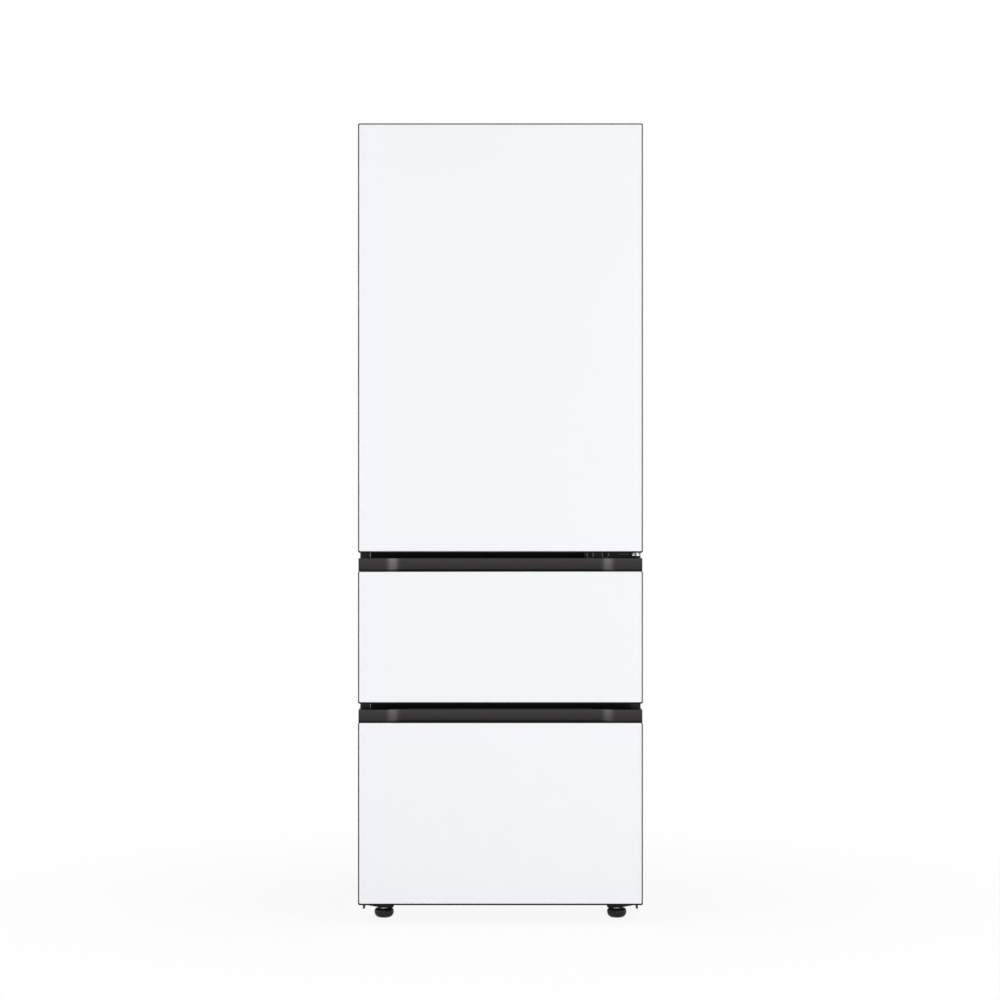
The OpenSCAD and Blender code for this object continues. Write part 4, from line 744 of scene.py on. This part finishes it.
def makeCondenser():
    low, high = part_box("condenser")
    margin, last = condenserShape["margin"], condenserShape["layers"] - 1
    places = [low[0] + margin + layer * (high[0] - low[0] - 2 * margin) / last for layer in range(last + 1)]
    coil = bmesh.new()
    for x in places:
        serpentine(coil, (x, low[1], low[2] + condenserShape["lift"]), (0, 1, 0), (0, 0, 1),
                   high[1] - low[1], condenserShape["gap"], condenserShape["runs"], condenserShape["tube"])
    bmesh.ops.recalc_face_normals(coil, faces=coil.faces)
    link("condenser_coil", coil, "condenser_tube", "condenser", smooth=50)
    # each frame has an upright bar for each layer, and thinner rails across its foot and head
    frames = bmesh.new()
    bar, step = condenserShape["bar"], condenserShape["step"]
    edge = (condenserShape["radius"], condenserShape["soft"], 2)
    for y in (low[1] + condenserShape["frameInset"], high[1] - condenserShape["frameInset"]):
        front, back = y - condenserShape["frameThick"] / 2, y + condenserShape["frameThick"] / 2
        for layer, x in enumerate(places):
            left, right = margin if layer == 0 else bar, margin if layer == last else bar
            plate(frames, (x - left, front, low[2]), (x + right, back, high[2]), *edge)
        for z0, z1 in ((low[2] + step, low[2] + bar), (high[2] - bar, high[2] - step)):
            plate(frames, (low[0] + bar, front + step, z0), (high[0] - bar, back - step, z1), *edge)
    link("condenser_frames", frames, "tray_black", body="cabinet")


evaporatorShape = {"runs": 6, "gap": 0.030, "tube": 0.004, "fins": 49, "finThick": 0.0005, "endThick": 0.0016,
                   "finShort": 0.008, "beyondFins": 0.015}


def makeEvaporator():
    low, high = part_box("evaporator")
    half, lastFin = high[0] - evaporatorShape["beyondFins"], evaporatorShape["fins"] - 1
    gap = evaporatorShape["gap"]
    coil = bmesh.new()
    serpentine(coil, (low[0], (low[1] + high[1]) / 2, low[2] + gap / 2), (1, 0, 0), (0, 0, 1),
               high[0] - low[0], gap, evaporatorShape["runs"], evaporatorShape["tube"])
    bmesh.ops.recalc_face_normals(coil, faces=coil.faces)
    for i in range(lastFin + 1):
        end = i in (0, lastFin)
        thick = evaporatorShape["endThick"] if end else evaporatorShape["finThick"]
        deep = high[1] - low[1] - (0 if end else evaporatorShape["finShort"])
        middle = (-half + i * 2 * half / lastFin, low[1] + deep / 2, (low[2] + high[2]) / 2)
        size = Matrix.Diagonal((thick, deep, high[2] - low[2], 1))
        bmesh.ops.create_cube(coil, size=1, matrix=Matrix.Translation(middle) @ size)
    link("evaporator_coil", coil, "evaporator_fins", "evaporator", smooth=50)


# screws of the back sheet, of the machine room's cover and of the hood over the upper hinge
screwPlaces = {"radius": 0.0042, "height": 0.0022, "turnMost": 1.5, "rows": 6, "firstUp": 0.06,
               "rowsShort": 0.10, "fromSide": 0.010, "topRow": 3, "fromTop": 0.012, "sheet": 0.001,
               "coverProud": 0.0015, "coverShares": (0.28, 0.94), "coverDown": 0.009, "coverUp": 0.012,
               "hoodFront": 0.030, "hoodBack": 0.014, "hoodHeight": 0.0018, "hoodTurn": 0.4}


def makeScrews():
    s = screwPlaces
    backLow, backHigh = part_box("cabinet_back")
    coverLow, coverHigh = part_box("rear_cover")
    hoodLow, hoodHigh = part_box("hinge_cover")
    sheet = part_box("outer_case")[1][1] + s["sheet"]
    cover = sheet + s["coverProud"]
    places = []
    for side in (-1, 1):
        for i in range(s["rows"]):
            z = backLow[2] + s["firstUp"] + i * (backHigh[2] - backLow[2] - s["rowsShort"]) / (s["rows"] - 1)
            places.append((side * (backHigh[0] - s["fromSide"]), sheet, z))
    for i in range(1, s["topRow"] + 1):
        x = backLow[0] + i * (backHigh[0] - backLow[0]) / (s["topRow"] + 1)
        places.append((x, sheet, backHigh[2] - s["fromTop"]))
    for side in (-1, 1):
        for share in s["coverShares"]:
            places.append((side * coverHigh[0] * share, cover, coverHigh[2] - s["coverDown"]))
        places.append((side * coverHigh[0] * s["coverShares"][1], cover, coverLow[2] + s["coverUp"]))
    places.append((0, cover, coverLow[2] + s["coverUp"]))
    bm = bmesh.new()
    for place in places:
        screwHead(bm, place, (0, 1, 0), s["radius"], s["height"], random.uniform(0, s["turnMost"]))
    link("back_screws", bm, "screw_zinc", body="cabinet", smooth=40)
    bm = bmesh.new()
    for y in (hoodLow[1] + s["hoodFront"], hoodHigh[1] - s["hoodBack"]):
        screwHead(bm, ((hoodLow[0] + hoodHigh[0]) / 2, y, hoodHigh[2]), (0, 0, 1), s["radius"],
                  s["hoodHeight"], s["hoodTurn"])
    link("hood_screws", bm, "screw_black", body="cabinet", smooth=40)
    return len(places) + 2


# the two screws of the middle hinge: a bright washer face under a black head, over the plain heads of the
# bracket; each place is how far it lies from the pin, and its turn
hingeScrew = {"places": ((-0.106, 0.35), (-0.070, 0.9)), "pinInset": 0.015, "belowDoor": 0.006,
              "beforePlate": 0.004, "washer": 0.0083, "washerThick": 0.0012, "washerSides": 36,
              "washerEdge": 0.0004, "head": 0.0069, "headHigh": 0.0027, "headSunk": 0.0001}


def makeHingeScrews():
    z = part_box("door_grip_cap")[0][2] - hingeScrew["belowDoor"]
    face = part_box("front_mullions")[0][1] - hingeScrew["beforePlate"]
    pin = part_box("door_frame")[1][0] - hingeScrew["pinInset"]
    thick, radius = hingeScrew["washerThick"], hingeScrew["washer"]
    washers, heads = bmesh.new(), bmesh.new()
    for offset, turn in hingeScrew["places"]:
        flat = Matrix.Translation((pin + offset, face - thick / 2, z)) @ Matrix.Rotation(math.pi / 2, 4, "X")
        bmesh.ops.create_cone(washers, cap_ends=True, segments=hingeScrew["washerSides"], radius1=radius,
                              radius2=radius, depth=thick, matrix=flat)
        screwHead(heads, (pin + offset, face - thick + hingeScrew["headSunk"], z), (0, -1, 0),
                  hingeScrew["head"], hingeScrew["headHigh"], turn)
    rims = [e for e in washers.edges if len(e.link_faces) == 2 and e.calc_face_angle(0) > 1.0]
    bmesh.ops.bevel(washers, geom=rims, offset=hingeScrew["washerEdge"], offset_type="OFFSET",
                    affect="EDGES", segments=2, profile=0.5, material=-1)
    link("hinge_washers", washers, "washer_grey", body="cabinet", smooth=40)
    link("hinge_screws", heads, "screw_black", body="cabinet", smooth=40)


# dark display window, lit lenses and touch keys of the ceiling unit; heights are from the unit's lower face
ceilingShape = {"unitHigh": 0.012,
                "windowHalf": 0.0815, "windowFront": 0.0425, "windowBack": 0.0165,
                "windowHeights": (0.0002, 0.0016), "windowRadius": 0.0038,
                "lensSides": (0.0965, 0.1375), "lensInset": 0.0145, "lensHeights": (0.0004, 0.0031),
                "lensRadius": 0.0075,
                "keys": 5, "keyPitch": 0.036, "keyFront": 0.026, "keyHalf": 0.0056,
                "keyHeights": (-0.0011, -0.0007), "keyRadius": 0.0055, "keySoft": 0.0002, "keySteps": 6}


def makeCeilingUnit():
    c = ceilingShape
    low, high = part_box("control_panel")
    front, back, under = low[1], high[1], high[2] - c["unitHigh"]
    base, top = [under + up for up in c["windowHeights"]]
    bm = bmesh.new()
    half = c["windowHalf"]
    plate(bm, (-half, front + c["windowFront"], base), (half, back - c["windowBack"], top), c["windowRadius"])
    link("display_window", bm, "window_dark", body="cabinet")
    base, top = [under + up for up in c["lensHeights"]]
    bm = bmesh.new()
    for side in (-1, 1):
        left, right = sorted(side * x for x in c["lensSides"])
        plate(bm, (left, front + c["lensInset"], base), (right, back - c["lensInset"], top), c["lensRadius"])
    link("lamp_lenses", bm, "lamp_milk", body="cabinet")
    base, top = [under + up for up in c["keyHeights"]]
    half, y = c["keyHalf"], front + c["keyFront"]
    bm = bmesh.new()
    for i in range(c["keys"]):
        x = (i - (c["keys"] - 1) / 2) * c["keyPitch"]
        plate(bm, (x - half, y - half, base), (x + half, y + half, top), c["keyRadius"], c["keySoft"],
              c["keySteps"])
    link("touch_keys", bm, "key_grey", body="cabinet")


makeHem()
makeRearFolds()
makeCondenser()
makeEvaporator()
screwCount = makeScrews()
makeHingeScrews()
makeCeilingUnit()
print("small pieces made:", screwCount + len(hingeScrew["places"]), "screws")

# the other nodes keep their CAD shape
plain = [node for node in frame["nodes"] if node not in replaced]
for node in plain:
    part = frame["nodes"][node]
    part.data.materials.clear()
    part.data.materials.append(finishes[slotOf[node]])
print("plain nodes finished:", len(plain))


# the shadow lies near the object; from shadowEnd on the floor is as white as the background
floorLook = {"size": 14, "colour": (0.90, 0.90, 0.90), "rough": 0.9, "shadowStart": 0.5, "shadowEnd": 1.6,
             "whiteNear": 0.90}


def makeFloor():
    bm = bmesh.new()
    bmesh.ops.create_grid(bm, x_segments=1, y_segments=1, size=floorLook["size"])
    mesh = bpy.data.meshes.new("floor")
    bm.to_mesh(mesh)
    bm.free()
    floor = bpy.data.objects.new("floor", mesh)
    bpy.context.scene.collection.objects.link(floor)
    f = Finish("floor")
    f.set(colour=floorLook["colour"], rough=floorLook["rough"])
    across, along = f.axis("X"), f.axis("Y")
    away = f.maths("SQRT", across * across + along * along)
    far = f.ranged(away, floorLook["shadowStart"], floorLook["shadowEnd"], floorLook["whiteNear"], 1.0)
    white = f.add("ShaderNodeEmission", {}, {"Color": (1, 1, 1), "Strength": 1.0})
    own = Wire(f, f.shader.outputs[0])
    mixed = f.add("ShaderNodeMixShader", {}, {0: f.seenWhite() * far, 1: own, 2: white})
    f.feed(f.output.inputs["Surface"], mixed)
    mesh.materials.append(f.material)


worldLevel = 0.432  # how strongly the world lights the object; what is seen of it is plain white


def makeWorld():
    world = bpy.data.worlds.new("studio")
    bpy.context.scene.world = world
    world.use_nodes = True
    world.node_tree.nodes.clear()
    n = Nodes(world.node_tree)
    glow = n.add("ShaderNodeBackground", {}, {"Color": (1, 1, 1),
                                              "Strength": n.ranged(n.seenWhite(), 0.0, 1.0, worldLevel, 1.0)})
    n.add("ShaderNodeOutputWorld", {}, {"Surface": glow})


# the side boxes give the two highlights in each grip's scoop
softboxes = {
    "sideLeft": {"at": (-3.7, -2.75, 1.3), "aim": (0, -0.3, 0.85), "size": (1.1, 2.6), "watts": 74},
    "sideRight": {"at": (3.7, -2.75, 1.3), "aim": (0, -0.3, 0.85), "size": (1.1, 2.6), "watts": 84},
    "frontHigh": {"at": (1.9, -4.6, 3.6), "aim": (0, -0.3, 0.9), "size": (2.2, 1.4), "watts": 21},
    "topSoft": {"at": (0.2, 0.2, 4.2), "aim": (0, 0, 0.9), "size": (2.6, 2.6), "watts": 26},
}


def makeLamps():
    for name, box in softboxes.items():
        data = bpy.data.lights.new(name, "AREA")
        data.shape = "RECTANGLE"
        data.size, data.size_y = box["size"]
        data.energy = box["watts"]
        lamp = bpy.data.objects.new(name, data)
        bpy.context.scene.collection.objects.link(lamp)
        lamp.location = box["at"]
        aim = Vector(box["aim"]) - Vector(box["at"])
        lamp.rotation_euler = aim.to_track_quat("-Z", "Y").to_euler()


makeFloor()
makeWorld()
makeLamps()
bpy.context.scene.view_settings.view_transform = "Standard"
print("stage and lamps made")
